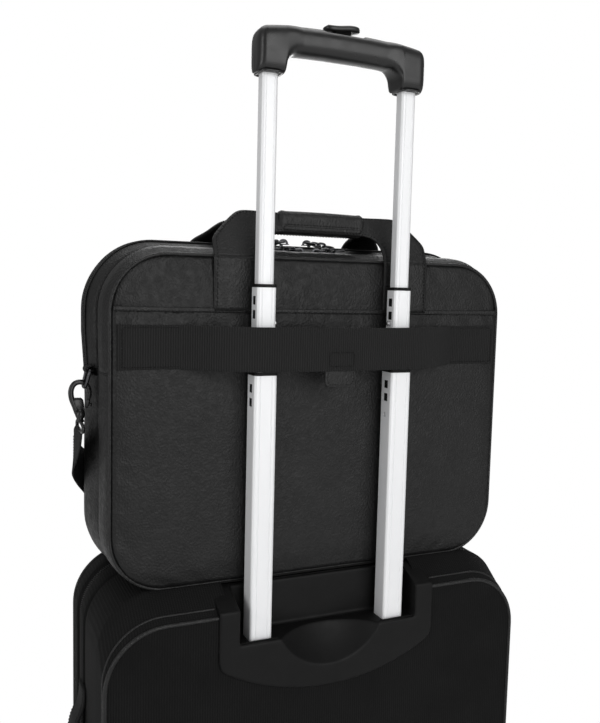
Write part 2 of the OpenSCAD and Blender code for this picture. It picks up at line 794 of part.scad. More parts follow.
module hook_gate() {
    translate([hook_x + 6, lug_y, hook_top - 19]) {
        rotate([90, 0, 0]) translate([0, 0, -2]) linear_extrude(4)
            polygon([[-2, 1], [0.8, 1], [5.6, 9.6], [3.6, 10.4]]);
        translate([1.6, 0, 4]) rotate([0, 90, 0]) cylinder(r = 1.6, h = 4);
    }
}
module hook_gate_left() { color([0.05, 0.05, 0.05]) hook_gate(); }
module hook_gate_right() { color([0.05, 0.05, 0.05]) mirror([1, 0, 0]) hook_gate(); }

// The whole strap: the left half's route, then its mirror image
strap_n = len(strap_half);
function strap_row(i) = i < strap_n ? strap_half[i] : strap_half[2 * strap_n - 2 - i];
function strap_side(i) = i < strap_n ? 1 : -1;
function strap_point(i) = let (p = strap_row(i)[0]) [p[0] * strap_side(i), p[1], p[2]];
function strap_out(i) = let (n = strap_row(i)[1]) [n[0] * strap_side(i), n[1], 0] / norm(n);
strap_count = 2 * strap_n - 1;
function unit(v) = v / norm(v);
function strap_along(i) =
    unit(strap_point(min(i + 1, strap_count - 1)) - strap_point(max(i - 1, 0)));
function strap_across(i) = unit(cross(strap_along(i), strap_out(i)));
function strap_up(i) = unit(cross(strap_across(i), strap_along(i)));
function strap_width(i) = i == 0 || i == strap_count - 1 ? 12 : strap_w;
function strap_corner(i, a, b) =
    strap_point(i) + a * strap_across(i) * strap_width(i) / 2 + b * strap_up(i) * strap_t / 2;
strap_corners = [for (i = [0:strap_count - 1]) for (c = [[-1, -1], [1, -1], [1, 1], [-1, 1]])
    strap_corner(i, c[0], c[1])];
strap_sides = [for (i = [0:strap_count - 2]) for (k = [0:3])
    [4 * i + k, 4 * i + (k + 1) % 4, 4 * i + 4 + (k + 1) % 4, 4 * i + 4 + k]];
module shoulder_strap() {
    last = 4 * (strap_count - 1);
    color([0.04, 0.04, 0.04])
        polyhedron(strap_corners, concat([[3, 2, 1, 0], [last, last + 1, last + 2, last + 3]], strap_sides));
}

pad_y = strap_half[strap_n - 1][0][1] + strap_t / 2 + soft_gap;
module shoulder_pad() {
    color([0.06, 0.06, 0.06])
        upright(pad_y, pad_y + 5, strap_half[strap_n - 1][0][2] + 6) rounded_rect(150, 46, 20);
}

case_gusset();
case_back_panel();
case_front_panel();
front_pocket();
case_piping();
case_zip_tape();
lining_board();
handle_bezel();
outer_tubes();
tube_foot_bracket();
base_tray();
wheel_housings();
wheel_axles();
front_feet();
housing_screws();
side_grab_handle();
case_zip_slider_upper();
case_zip_slider_lower();
wheel_left_tyre();
wheel_left_hub();
wheel_right_tyre();
wheel_right_hub();
stage_a_tubes();
stage_a_bushings();
stage_b_tubes();
stage_b_bushings();
stage_c_tubes();
stage_c_plugs();
latch_pins();
grip();
button_spring();
release_button();
release_rods();
bag_back_panel();
slip_pocket();
handle_sleeve();
pull_tab();
bag_rear_gusset();
bag_divider();
bag_main_gusset();
bag_front_panel();
bag_piping();
bag_zip_tapes();
handle_legs();
strap_lugs();
d_rings();
snap_hooks();
shoulder_strap();
shoulder_pad();
rear_handle();
handle_wrap();
front_handle();
hook_gate_left();
hook_gate_right();
rear_zip_slider_left();
rear_zip_pull_left();
rear_zip_slider_right();
rear_zip_pull_right();
main_zip_slider_left();
main_zip_slider_right();
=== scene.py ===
import math

import bmesh
import bpy
import numpy as np
from mathutils import Matrix, Vector, noise


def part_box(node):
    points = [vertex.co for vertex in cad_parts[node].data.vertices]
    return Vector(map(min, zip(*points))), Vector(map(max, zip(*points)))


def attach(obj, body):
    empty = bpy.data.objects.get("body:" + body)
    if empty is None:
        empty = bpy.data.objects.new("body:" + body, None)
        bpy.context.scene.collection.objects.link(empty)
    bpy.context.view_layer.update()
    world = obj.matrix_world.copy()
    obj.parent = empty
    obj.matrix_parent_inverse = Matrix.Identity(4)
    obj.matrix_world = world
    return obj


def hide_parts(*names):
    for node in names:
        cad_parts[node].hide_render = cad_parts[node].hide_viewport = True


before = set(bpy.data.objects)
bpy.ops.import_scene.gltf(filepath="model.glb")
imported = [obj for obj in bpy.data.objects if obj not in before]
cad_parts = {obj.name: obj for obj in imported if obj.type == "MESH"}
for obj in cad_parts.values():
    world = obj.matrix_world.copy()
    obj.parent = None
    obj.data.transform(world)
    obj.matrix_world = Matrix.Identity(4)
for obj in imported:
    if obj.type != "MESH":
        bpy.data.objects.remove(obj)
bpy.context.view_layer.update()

MM = 0.001
scene = bpy.context.scene

# ---------------------------------------------------------------- places, from the frame


def span(node):
    """A CAD node's lowest and highest corners, as arrays in metres."""
    lo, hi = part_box(node)
    return np.array(lo), np.array(hi)


bag_lo, bag_hi = span("bag_back_panel")
BAG_W = bag_hi[0] - bag_lo[0]
BAG_H = bag_hi[2] - bag_lo[2]
BAG_R = 52 * MM
BAG_Y = bag_lo[1]
BAG_FRONT = span("bag_front_panel")[1][1]
BAG_BOTTOM, BAG_TOP = bag_lo[2], bag_hi[2]
BAG_MID = (BAG_BOTTOM + BAG_TOP) / 2
SEAM_Z = BAG_BOTTOM + 203 * MM
POCKET_EDGE = span("slip_pocket")[1][2]
REAR_ZIP_Y = BAG_Y + 42 * MM
MAIN_ZIP_Y = BAG_Y + 76 * MM

case_lo, case_hi = span("case_front_panel")
CASE_W = case_hi[0] - case_lo[0]
CASE_R = 54 * MM
CASE_BOTTOM, CASE_TOP = case_lo[2], case_hi[2]
CASE_MID = (CASE_BOTTOM + CASE_TOP) / 2
CASE_H = CASE_TOP - CASE_BOTTOM
CASE_BACK = span("case_back_panel")[0][1]
CASE_FRONT = case_hi[1]
CASE_BACK_Z = CASE_MID - 11 * MM
CASE_BACK_H = CASE_H - 22 * MM
CASE_BACK_W = CASE_W - 4 * MM

# ---------------------------------------------------------------- camera, light and floor


def view_camera():
    yaw, pitch, roll = math.radians(23.9), math.radians(-5.32), math.radians(1.40)
    forward = Vector((math.sin(yaw) * math.cos(pitch), math.cos(yaw) * math.cos(pitch), math.sin(pitch)))
    right = Vector((math.cos(yaw), -math.sin(yaw), 0))
    up = right.cross(forward)
    right, up = (math.cos(roll) * right + math.sin(roll) * up, -math.sin(roll) * right + math.cos(roll) * up)
    data = bpy.data.cameras.new("camera")
    data.lens = 39.35
    data.sensor_width = 36
    data.dof.use_dof = False
    camera = bpy.data.objects.new("camera", data)
    place = Matrix((right, up, -forward)).transposed().to_4x4()
    place.translation = Vector((-0.3367, -0.7723, 0.7033))
    camera.matrix_world = place
    scene.collection.objects.link(camera)
    scene.camera = camera


def softbox(name, place, target, size, power):
    data = bpy.data.lights.new(name, "AREA")
    data.shape = "RECTANGLE"
    data.size, data.size_y = size
    data.energy = power
    lamp = bpy.data.objects.new(name, data)
    lamp.location = place
    lamp.rotation_euler = (Vector(target) - Vector(place)).to_track_quat("-Z", "Y").to_euler()
    scene.collection.objects.link(lamp)


def white_where_seen(tree, lit, seen, output):
    """Shows one shader to the camera, and lights the object with another."""
    path = tree.nodes.new("ShaderNodeLightPath")
    mix = tree.nodes.new("ShaderNodeMixShader")
    tree.links.new(path.outputs["Is Camera Ray"], mix.inputs["Fac"])
    tree.links.new(lit.outputs[0], mix.inputs[1])
    tree.links.new(seen.outputs[0], mix.inputs[2])
    tree.links.new(mix.outputs[0], tree.nodes[output].inputs["Surface"])


def studio():
    world = bpy.data.worlds.new("studio")
    scene.world = world
    world.use_nodes = True
    tree = world.node_tree
    glow = tree.nodes["Background"]
    glow.inputs["Color"].default_value = (1, 1, 1, 1)
    glow.inputs["Strength"].default_value = 0.26
    seen = tree.nodes.new("ShaderNodeBackground")
    seen.inputs["Strength"].default_value = 1.0
    seen.inputs["Color"].default_value = (1, 1, 1, 1)
    white_where_seen(tree, glow, seen, "World Output")
    scene.view_settings.view_transform = "Standard"
    softbox("light_rear", (0.5, -2.6, 1.2), (0, 0, 0.5), (2.2, 2.2), 38)
    softbox("light_top", (0.1, 0.4, 2.8), (0, 0, 0.5), (2.4, 2.0), 30)
    softbox("light_left", (-2.5, -0.7, 1.1), (0, 0, 0.5), (1.2, 1.8), 17)
    softbox("light_front", (1.2, 2.6, 1.4), (0, 0, 0.5), (2.0, 2.0), 40)


def pale_floor():
    """A white sweep: as bright as the background where it is seen, plain pale paint for bounced light."""
    data = bpy.data.meshes.new("floor")
    rim = [(14 * math.cos(k * math.pi / 32), 14 * math.sin(k * math.pi / 32), 0) for k in range(64)]
    data.from_pydata(rim, [], [tuple(range(64))])
    floor = bpy.data.objects.new("floor", data)
    scene.collection.objects.link(floor)
    paint = bpy.data.materials.new("floor_paint")
    paint.use_nodes = True
    tree = paint.node_tree
    shader = tree.nodes["Principled BSDF"]
    shader.inputs["Base Color"].default_value = (0.75, 0.75, 0.75, 1)
    shader.inputs["Roughness"].default_value = 0.9
    white_where_seen(tree, shader, tree.nodes.new("ShaderNodeEmission"), "Material Output")
    data.materials.append(paint)


view_camera()
studio()
pale_floor()

# ---------------------------------------------------------------- materials


class Finish:
    """One material: a Principled shader, with textures in the object's own coordinates in metres."""

    def __init__(self, name, colour, rough, shine=0.5, metallic=0.0):
        self.material = bpy.data.materials.new(name)
        self.material.use_nodes = True
        self.tree = self.material.node_tree
        self.shader = self.tree.nodes["Principled BSDF"]
        self.coords = self.tree.nodes.new("ShaderNodeTexCoord")
        self.shader.inputs["Base Color"].default_value = (*colour, 1)
        self.shader.inputs["Roughness"].default_value = rough
        self.shader.inputs["Specular IOR Level"].default_value = shine
        self.shader.inputs["Metallic"].default_value = metallic
        self.normal = None

    def link(self, source, target):
        self.tree.links.new(source, target)
        return self

    def texture(self, kind, scale, stretch=(1, 1, 1), space="Object", **settings):
        place = self.tree.nodes.new("ShaderNodeMapping")
        place.inputs["Scale"].default_value = stretch
        self.link(self.coords.outputs[space], place.inputs["Vector"])
        node = self.tree.nodes.new(kind)
        self.link(place.outputs[0], node.inputs["Vector"])
        node.inputs["Scale"].default_value = scale
        for key, value in settings.items():
            if hasattr(node, key):
                setattr(node, key, value)
            else:
                node.inputs[key.title()].default_value = value
        return node.outputs[0]

    def noise(self, size, detail=3.0, stretch=(1, 1, 1)):
        """Soft noise whose blotches are about `size` metres across."""
        return self.texture("ShaderNodeTexNoise", 1 / size, stretch, detail=detail)

    def pebbles(self, size, stretch=(1, 1, 1)):
        """Cells about `size` metres across, low in the creases between them."""
        return self.texture("ShaderNodeTexVoronoi", 1 / size, stretch, feature="SMOOTH_F1", smoothness=0.35)

    def ribs(self, pitch, axis="X", distort=0.0, space="Object"):
        """Parallel ribs `pitch` metres apart, across an axis."""
        return self.texture("ShaderNodeTexWave", math.pi / 10 / pitch, space=space,
                            bands_direction=axis, distortion=distort)

    def blend(self, a, b):
        node = self.tree.nodes.new("ShaderNodeMix")
        node.data_type = "RGBA"
        node.blend_type = "MULTIPLY"
        node.inputs["Factor"].default_value = 1
        self.link(a, node.inputs[6]).link(b, node.inputs[7])
        return node.outputs[2]

    def tint(self, source, dark, light, start=0.3, end=0.7):
        ramp = self.tree.nodes.new("ShaderNodeValToRGB")
        ramp.color_ramp.elements[0].position = start
        ramp.color_ramp.elements[1].position = end
        ramp.color_ramp.elements[0].color = (*dark, 1)
        ramp.color_ramp.elements[1].color = (*light, 1)
        self.link(source, ramp.inputs[0])
        self.link(ramp.outputs[0], self.shader.inputs["Base Color"])
        return self

    def rough(self, source, low, high):
        node = self.tree.nodes.new("ShaderNodeMapRange")
        for key, value in (("From Min", 0.3), ("From Max", 0.7), ("To Min", low), ("To Max", high)):
            node.inputs[key].default_value = value
        self.link(source, node.inputs["Value"])
        self.link(node.outputs[0], self.shader.inputs["Roughness"])
        return self

    def bump(self, source, depth, strength=1.0):
        """Raises the surface by up to `depth` metres where the source is bright."""
        node = self.tree.nodes.new("ShaderNodeBump")
        node.inputs["Strength"].default_value = strength
        node.inputs["Distance"].default_value = depth
        self.link(source, node.inputs["Height"])
        if self.normal is not None:
            self.link(self.normal, node.inputs["Normal"])
        self.normal = node.outputs[0]
        self.link(self.normal, self.shader.inputs["Normal"])
        return self


def grey(value):
    return (value, value, value)


def leather(name, value, rough=0.52):
    f = Finish(name, grey(value), rough, shine=0.32)
    crease = f.noise(34 * MM, detail=5)
    f.tint(crease, grey(value * 0.78), grey(value * 1.25))
    f.rough(f.noise(6 * MM, detail=4), rough - 0.09, rough + 0.1)
    f.bump(crease, 1.6 * MM, 0.35)
    f.bump(f.pebbles(1.9 * MM, (1, 1, 0.8)), 0.5 * MM, 0.85)
    f.bump(f.noise(0.7 * MM, detail=2), 0.1 * MM, 0.5)
    return f.material


def cloth(name, value, pitch, rough=0.85):
    f = Finish(name, grey(value), rough, shine=0.12)
    rows = f.ribs(pitch, "X", distort=0.9)
    picks = f.ribs(pitch * 0.45, "Z", distort=0.8)
    weave = f.blend(rows, picks)
    f.tint(f.blend(rows, f.noise(40 * MM, detail=4)), grey(value * 0.8), grey(value * 1.45), 0.15, 0.5)
    f.bump(weave, 0.4 * MM, 0.8)
    f.bump(f.noise(1.1 * MM, detail=2), 0.16 * MM, 0.6)
    return f.material


def webbing(name, value, pitch):
    """Ribbed webbing: ribs run across the ribbon, in its own UV metres."""
    f = Finish(name, grey(value), 0.78, shine=0.3)
    ribs = f.ribs(pitch, "X", space="UV")
    threads = f.ribs(0.9 * MM, "Y", space="UV", distort=0.6)
    f.tint(ribs, grey(value * 0.5), grey(value * 1.25), 0.1, 0.9)
    f.bump(ribs, 0.5 * MM, 0.9)
    f.bump(threads, 0.18 * MM, 0.6)
    return f.material


def metal(name, colour, rough, grain, stretch=(1, 1, 0.02), metallic=1.0):
    f = Finish(name, colour, rough, metallic=metallic)
    streaks = f.noise(0.35 * MM, detail=2, stretch=stretch)
    f.rough(streaks, rough - 0.05, rough + 0.07)
    f.bump(streaks, grain)
    return f.material


def plastic(name, value, rough, grain=0.06, shine=0.5):
    f = Finish(name, grey(value), rough, shine=shine)
    f.tint(f.noise(30 * MM, detail=3), grey(value * 0.9), grey(value * 1.1))
    f.rough(f.noise(9 * MM), rough - 0.05, rough + 0.06)
    f.bump(f.pebbles(0.6 * MM), grain * MM, 0.6)
    return f.material


def rubber(name, value):
    f = Finish(name, grey(value), 0.8, shine=0.3)
    f.tint(f.noise(8 * MM, detail=5), grey(value * 0.8), grey(value * 1.5))
    f.bump(f.noise(0.8 * MM, detail=3), 0.12 * MM, 0.7)
    return f.material


LEATHER = leather("leather_panel", 0.0075)
LEATHER_HANDLE = leather("leather_handle", 0.0105, 0.48)
NYLON = cloth("nylon_twill", 0.0075, 2.4 * MM)
WEBBING = webbing("webbing_ribbed", 0.0115, 2.3 * MM)
PIPING = leather("piping_leather", 0.011, 0.42)
WEBBING_LONG = webbing("webbing_strap", 0.0095, 1.5 * MM)
ZIP_TAPE = cloth("zip_tape", 0.008, 0.9 * MM, 0.8)
COIL = plastic("zip_coil", 0.012, 0.38)
GUNMETAL = metal("gunmetal", (0.09, 0.09, 0.095), 0.3, 0.02 * MM, (1, 1, 1))
LACQUER = plastic("black_lacquer", 0.012, 0.28, 0.02)
ALUMINIUM = metal("aluminium_anodised", (0.9, 0.905, 0.915), 0.5, 0.01 * MM, metallic=0.3)
STEEL = metal("steel", (0.6, 0.6, 0.61), 0.28, 0.01 * MM, (1, 1, 1))
PLASTIC = plastic("plastic_moulded", 0.0055, 0.5, shine=0.16)
GRIP_PLASTIC = plastic("plastic_grip", 0.011, 0.32, 0.03)
TYRE = rubber("tyre_rubber", 0.016)
HUB = plastic("hub_plastic", 0.12, 0.42)
LINING = cloth("lining_cloth", 0.05, 0.8 * MM)
THREAD = cloth("thread", 0.02, 0.4 * MM, 0.6)

# ---------------------------------------------------------------- mesh building


def piece(name, mesh, finish, node=None, body="laptop_case"):
    """An object on a body, in place of a CAD node. Its mesh is (verts, faces) or (verts, faces, uv)."""
    verts, faces, *uv = mesh
    data = bpy.data.meshes.new(name)
    data.from_pydata([tuple(map(float, v)) for v in verts], [], [tuple(map(int, f)) for f in faces])
    if uv:
        layer = data.uv_layers.new(name="length_and_width")
        for loop in data.loops:
            layer.data[loop.index].uv = uv[0][loop.vertex_index]
    shape = bmesh.new()
    shape.from_mesh(data)
    bmesh.ops.recalc_face_normals(shape, faces=shape.faces)
    shape.to_mesh(data)
    shape.free()
    obj = bpy.data.objects.new(name, data)
    scene.collection.objects.link(obj)
    return dress(obj, finish, body, node)


def dress(obj, finish, body, node):
    """Gives a smooth-shaded object its finish and body, and hides the CAD node that it replaces."""
    for polygon in obj.data.polygons:
        polygon.use_smooth = True
    obj.data.materials.append(finish)
    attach(obj, body)
    if node:
        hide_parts(node)
    return obj


def solidify(obj, thick, offset=-1.0):
    shell = obj.modifiers.new("thickness", "SOLIDIFY")
    shell.thickness = thick
    shell.offset = offset
    return obj


def joined(parts):
    """Several (verts, faces) as one."""
    verts, faces, base = [], [], 0
    for v, f in parts:
        verts.extend(v)
        faces.extend([tuple(base + i for i in face) for face in f])
        base += len(v)
    return np.array(verts), faces


def rows_to_faces(rows, columns, wrap=False, loop=False):
    """Quads of a grid whose rows hold `columns` points. wrap joins the columns' ends, loop the rows'."""
    last_row = rows if loop else rows - 1
    last_column = columns if wrap else columns - 1
    return [(r * columns + c, r * columns + (c + 1) % columns,
             (r + 1) % rows * columns + (c + 1) % columns, (r + 1) % rows * columns + c)
            for r in range(last_row) for c in range(last_column)]


def unit(v):
    v = np.asarray(v, float)
    return v / np.maximum(np.linalg.norm(v, axis=-1, keepdims=True), 1e-12)


def lengths(path):
    steps = np.linalg.norm(np.diff(path, axis=0), axis=1)
    return np.concatenate([[0], np.cumsum(steps)])


def resample(path, count=None, step=None):
    """A polyline with evenly spaced points."""
    path = np.asarray(path, float)
    at = lengths(path)
    count = count or max(2, int(round(at[-1] / step)) + 1)
    want = np.linspace(0, at[-1], count)
    return np.stack([np.interp(want, at, path[:, k]) for k in range(path.shape[1])], 1)


def rounded(points, times=3):
    """Cuts a polyline's corners, keeping its ends."""
    points = np.asarray(points, float)
    for _ in range(times):
        a = points[:-1] * 0.75 + points[1:] * 0.25
        b = points[:-1] * 0.25 + points[1:] * 0.75
        points = np.concatenate([points[:1], np.stack([a, b], 1).reshape(-1, points.shape[1])[1:-1],
                                 points[-1:]])
    return points


def frames(path, up, closed=False):
    """The direction along a path, its side and its up, at every point."""
    if closed:
        along = unit(np.roll(path, -1, 0) - np.roll(path, 1, 0))
    else:
        along = unit(np.gradient(path, axis=0))
    up = np.broadcast_to(np.asarray(up, float), path.shape)
    side = unit(np.cross(along, up))
    return along, side, unit(np.cross(side, along))


def sweep(path, section, up=(0, 1, 0), closed=False, scale=None):
    """A closed section of (side, up) points carried along a path."""
    path = np.asarray(path, float)
    section = np.asarray(section, float)
    _, side, over = frames(path, up, closed)
    size = np.ones(len(path)) if scale is None else np.asarray(scale, float)
    verts = (path[:, None] + side[:, None] * (section[None, :, :1] * size[:, None, None])
             + over[:, None] * (section[None, :, 1:] * size[:, None, None])).reshape(-1, 3)
    n, k = len(path), len(section)
    faces = rows_to_faces(n, k, wrap=True, loop=closed)
    if not closed:
        faces += [tuple(range(k))[::-1], tuple((n - 1) * k + i for i in range(k))]
    return verts, faces


def ring_section(radius, sides=8):
    turn = np.arange(sides) * 2 * math.pi / sides
    return np.stack([radius * np.cos(turn), radius * np.sin(turn)], 1)


def box_section(width, height, radius, steps=3):
    """A rounded rectangle of (side, up) points."""
    points = []
    for k in range(4):
        centre = (np.array([width / 2 - radius, height / 2 - radius])
                  * [(1, 1), (-1, 1), (-1, -1), (1, -1)][k])
        for turn in np.linspace(k * math.pi / 2, (k + 1) * math.pi / 2, steps + 1):
            points.append(centre + radius * np.array([math.cos(turn), math.sin(turn)]))
    return np.array(points)


def slab(a, b, out, thick, across=8, crown=0.0, wave=None):
    """A soft strip between two edge lines, with rounded edges, and its UVs in metres."""
    a, b, out = (np.asarray(x, float) for x in (a, b, out))
    out = np.broadcast_to(out, a.shape)
    width = np.linalg.norm(b - a, axis=1)[:, None]
    over = unit(b - a)
    inset = 0.5 * thick
    share = np.linspace(0, 1, across)
    top = [(s, 0.5 + crown / thick * (1 - (2 * s - 1) ** 2)) for s in share]
    section = [(s, h, inset) for s, h in top] + [(1, 0.25, 0.1 * thick), (1, -0.25, 0.1 * thick)]
    section += [(s, -0.5, inset) for s in share[::-1]] + [(0, -0.25, 0.1 * thick), (0, 0.25, 0.1 * thick)]
    run = lengths((a + b) / 2)
    verts, uv = [], []
    for s, h, edge in section:
        at = edge + (width - 2 * edge) * s
        lift = h * thick
        point = a + over * at + out * lift
        if wave is not None and h > 0.3:
            point = point + out * wave(run, at[:, 0])[:, None]
        verts.append(point)
        uv.append(np.stack([run, at[:, 0]], 1))
    k, n = len(section), len(a)
    verts = np.stack(verts, 1).reshape(-1, 3)
    uv = np.stack(uv, 1).reshape(-1, 2)
    faces = rows_to_faces(n, k, wrap=True) + [tuple(range(k))[::-1], tuple((n - 1) * k + i for i in range(k))]
    return verts, faces, uv


def stitch_row(path, out, pitch=3.4 * MM, long=2.3 * MM, radius=0.42 * MM):
    """Separate threads lying along a path, each sunk at both ends."""
    path = np.asarray(path, float)
    run = lengths(path)
    out = np.broadcast_to(np.asarray(out, float), path.shape)
    parts = []
    for k in range(int(run[-1] / pitch)):
        ends = (k + 0.5) * pitch + np.array([-0.5, -0.3, 0, 0.3, 0.5]) * long
        line = np.stack([np.interp(ends, run, path[:, c]) for c in range(3)], 1)
        up = unit(np.stack([np.interp(ends, run, out[:, c]) for c in range(3)], 1))
        line = line + up * np.array([-0.6, 0.25, 0.5, 0.25, -0.6])[:, None] * radius + up * 0.1 * MM
        parts.append(sweep(line, ring_section(radius, 5), up, scale=(0.5, 0.95, 1, 0.95, 0.5)))
    return joined(parts)


# ---------------------------------------------------------------- outlines of the bags


def corner_arc(cx, cz, r, start, end):
    count = max(3, int(abs(end - start) * r / (5 * MM)) + 1)
    return [(cx + r * math.cos(t), cz + r * math.sin(t)) for t in np.linspace(start, end, count)]


def outline(w, h, r, mid, step=5 * MM):
    """A rounded rectangle in XZ about height mid, from the middle of its bottom, as a closed loop."""
    x, z = w / 2 - r, h / 2 - r
    quarter = math.pi / 2
    points = [(0, -h / 2), (x, -h / 2)] + corner_arc(x, -z, r, -quarter, 0) + corner_arc(x, z, r, 0, quarter)
    points += corner_arc(-x, z, r, quarter, 2 * quarter) + corner_arc(-x, -z, r, 2 * quarter, 3 * quarter)
    points += [(-x, -h / 2), (0, -h / 2)]
    loop = resample(points, step=step)[:-1]
    return loop + [0, mid]


def outline_part(w, h, r, mid, cut, up, step=5 * MM):
    """The part of the rounded rectangle above (up=1) or below (up=-1) height cut, from +X over to -X."""
    x, z = w / 2 - r, up * (h / 2 - r)
    quarter = up * math.pi / 2
    points = [(w / 2, cut - mid)] + corner_arc(x, z, r, 0, quarter)
    points += corner_arc(-x, z, r, quarter, 2 * quarter) + [(-w / 2, cut - mid)]
    return resample(points, step=step) + [0, mid]


def outward(points, closed):
    """Unit normals in XZ, away from the outline's middle."""
    if closed:
        along = np.roll(points, -1, 0) - np.roll(points, 1, 0)
    else:
        along = np.gradient(points, axis=0)
    normal = unit(np.stack([along[:, 1], -along[:, 0]], 1))
    centre = points.mean(0)
    sign = np.sign(np.sum(normal * (points - centre), 1))
    return normal * np.where(sign == 0, 1, sign)[:, None]


def lift_to(points, y):
    """XZ points as XYZ at depth y."""
    return np.stack([points[:, 0], np.broadcast_to(y, len(points)), points[:, 1]], 1)


def band(points, profile, closed=False, floor=None, ripple=0.0, swell=1.0):
    """A strip round an outline. The profile gives (y, how far out) from one edge to the other."""
    normal = outward(points, closed)
    ys = np.array([p[0] for p in profile])
    outs = np.array([p[1] for p in profile])
    fine_y = np.linspace(ys[0], ys[-1], max(len(profile) * 2, int((ys[-1] - ys[0]) / (4 * MM))))
    fine_out = np.interp(fine_y, ys, outs)
    rows = []
    for y, out in zip(fine_y, fine_out):
        edge = min(y - ys[0], ys[-1] - y) / (ys[-1] - ys[0])
        wobble = np.array([noise.noise(Vector((p[0] * 30, y * 34, p[1] * 30))) for p in points])
        offset = out * swell + ripple * wobble * min(1, 6 * edge)
        ring = lift_to(points + normal * offset[:, None], y)
        if floor is not None:
            ring[:, 2] = np.maximum(ring[:, 2], floor)
        rows.append(ring)
    rows = np.array(rows)
    return rows.reshape(-1, 3), rows_to_faces(len(rows), len(points), wrap=closed)


def coons(bottom, right, top, left):
    """A grid of points filled in between four edge lines that share their corners."""
    nu, nv = len(bottom), len(left)
    u = np.linspace(0, 1, nu)[:, None, None]
    v = np.linspace(0, 1, nv)[None, :, None]
    ruled = (1 - v) * bottom[:, None] + v * top[:, None] + (1 - u) * left[None] + u * right[None]
    corners = ((1 - u) * (1 - v) * bottom[0] + u * (1 - v) * bottom[-1]
               + (1 - u) * v * top[0] + u * v * top[-1])
    return ruled - corners


def panel_grid(w, h, r, mid, nu=84, nv=64, top_z=None):
    """A rounded rectangle, or the part of it below top_z, filled with a grid of XZ points."""
    x, z, eighth = w / 2 - r, h / 2 - r, math.pi / 4
    low_left = corner_arc(-x, -z, r, 5 * eighth, 6 * eighth)
    low_right = corner_arc(x, -z, r, -2 * eighth, -eighth)
    bottom = resample(low_left + low_right, count=nu)
    up_right = corner_arc(x, -z, r, -eighth, 0)
    up_left = corner_arc(-x, -z, r, 5 * eighth, 4 * eighth)
    if top_z is None:
        right = resample(up_right + corner_arc(x, z, r, 0, eighth), count=nv)
        left = resample(up_left + corner_arc(-x, z, r, 4 * eighth, 3 * eighth), count=nv)
        top = resample(corner_arc(-x, z, r, 3 * eighth, 2 * eighth) + corner_arc(x, z, r, 2 * eighth, eighth),
                       count=nu)
    else:
        right = resample(up_right + [(w / 2, top_z - mid)], count=nv)
        left = resample(up_left + [(-w / 2, top_z - mid)], count=nv)
        top = resample([(-w / 2, top_z - mid), (w / 2, top_z - mid)], count=nu)
    return coons(bottom, right, top, left) + [0, mid]


def crown(nu, nv, power=4):
    u = np.linspace(-1, 1, nu)[:, None]
    v = np.linspace(-1, 1, nv)[None]
    return (1 - np.abs(u) ** power) * (1 - np.abs(v) ** power)


def field(points, size, seed=0.0):
    """Soft noise at an array of XZ points."""
    flat = points.reshape(-1, 2) / size
    values = [noise.noise(Vector((p[0], seed, p[1]))) for p in flat]
    return np.array(values).reshape(points.shape[:-1])


SIM_FRAMES = 18


def simulate(obj, pinned, pressure, grow, cap):
    """Lets a panel puff out between its sewn edges, and keeps the result in its mesh."""
    group = obj.vertex_groups.new(name="sewn")
    group.add([int(i) for i in pinned], 1.0, "REPLACE")
    cloth_modifier = obj.modifiers.new("Cloth", "CLOTH")
    sim = cloth_modifier.settings
    sim.quality = 5
    sim.mass = 0.25
    sim.tension_stiffness = sim.compression_stiffness = 18
    sim.shear_stiffness = 8
    sim.bending_stiffness = 1.5
    sim.vertex_group_mass = "sewn"
    sim.use_pressure = True
    sim.uniform_pressure_force = pressure
    sim.shrink_min = -grow
    sim.effector_weights.gravity = 0
    cloth_modifier.collision_settings.use_collision = False
    cloth_modifier.point_cache.frame_start = 1
    cloth_modifier.point_cache.frame_end = SIM_FRAMES
    for frame_number in range(1, SIM_FRAMES + 1):
        scene.frame_set(frame_number)
    settled = obj.evaluated_get(bpy.context.evaluated_depsgraph_get()).data
    old = np.zeros(len(obj.data.vertices) * 3)
    new = np.zeros(len(obj.data.vertices) * 3)
    obj.data.vertices.foreach_get("co", old)
    settled.vertices.foreach_get("co", new)
    move = (new - old).reshape(-1, 3)
    far = np.linalg.norm(move, axis=1, keepdims=True)
    move *= np.minimum(1, cap / np.maximum(far, 1e-9))
    obj.modifiers.remove(cloth_modifier)
    obj.data.vertices.foreach_set("co", (old.reshape(-1, 3) + move).ravel())
    obj.data.update()
    scene.frame_set(1)
    return obj

# ---------------------------------------------------------------- laptop case: panels and gussets

REAR_PROFILE = [(0.6, 0.2), (3, 2.6), (12, 6.2), (24, 7.6), (33, 6.4), (35.4, 4), (35.8, 2.6)]
MAIN_PROFILE = [(48.2, 2.6), (48.6, 4.6), (51, 7), (60, 10.6), (70, 12.4), (82, 13), (98, 11.6), (112, 6),
                (119.4, 0.2)]
LOWER_PROFILE = [(0.6, 0.8), (3, 2.4), (12, 4.2), (30, 5), (40, 4), (43, 0.4), (46, 0.4), (49, 2.6),
                 (58, 4.6), (70, 7), (86, 9.2), (100, 8.4), (114, 4), (119.4, 0.6)]


def fullness(points):
    """How far the stuffed upper gussets swell round the outline: most on top, less near the side seams."""
    rise = np.clip((points[:, 1] - SEAM_Z) / (34 * MM), 0, 1)
    top = np.clip((points[:, 1] - BAG_TOP + 30 * MM) / (30 * MM), 0, 1)
    return 0.8 + 0.18 * rise + 0.2 * top * top


def deep(profile, y0):
    return [(y0 + y * MM, out * MM) for y, out in profile]


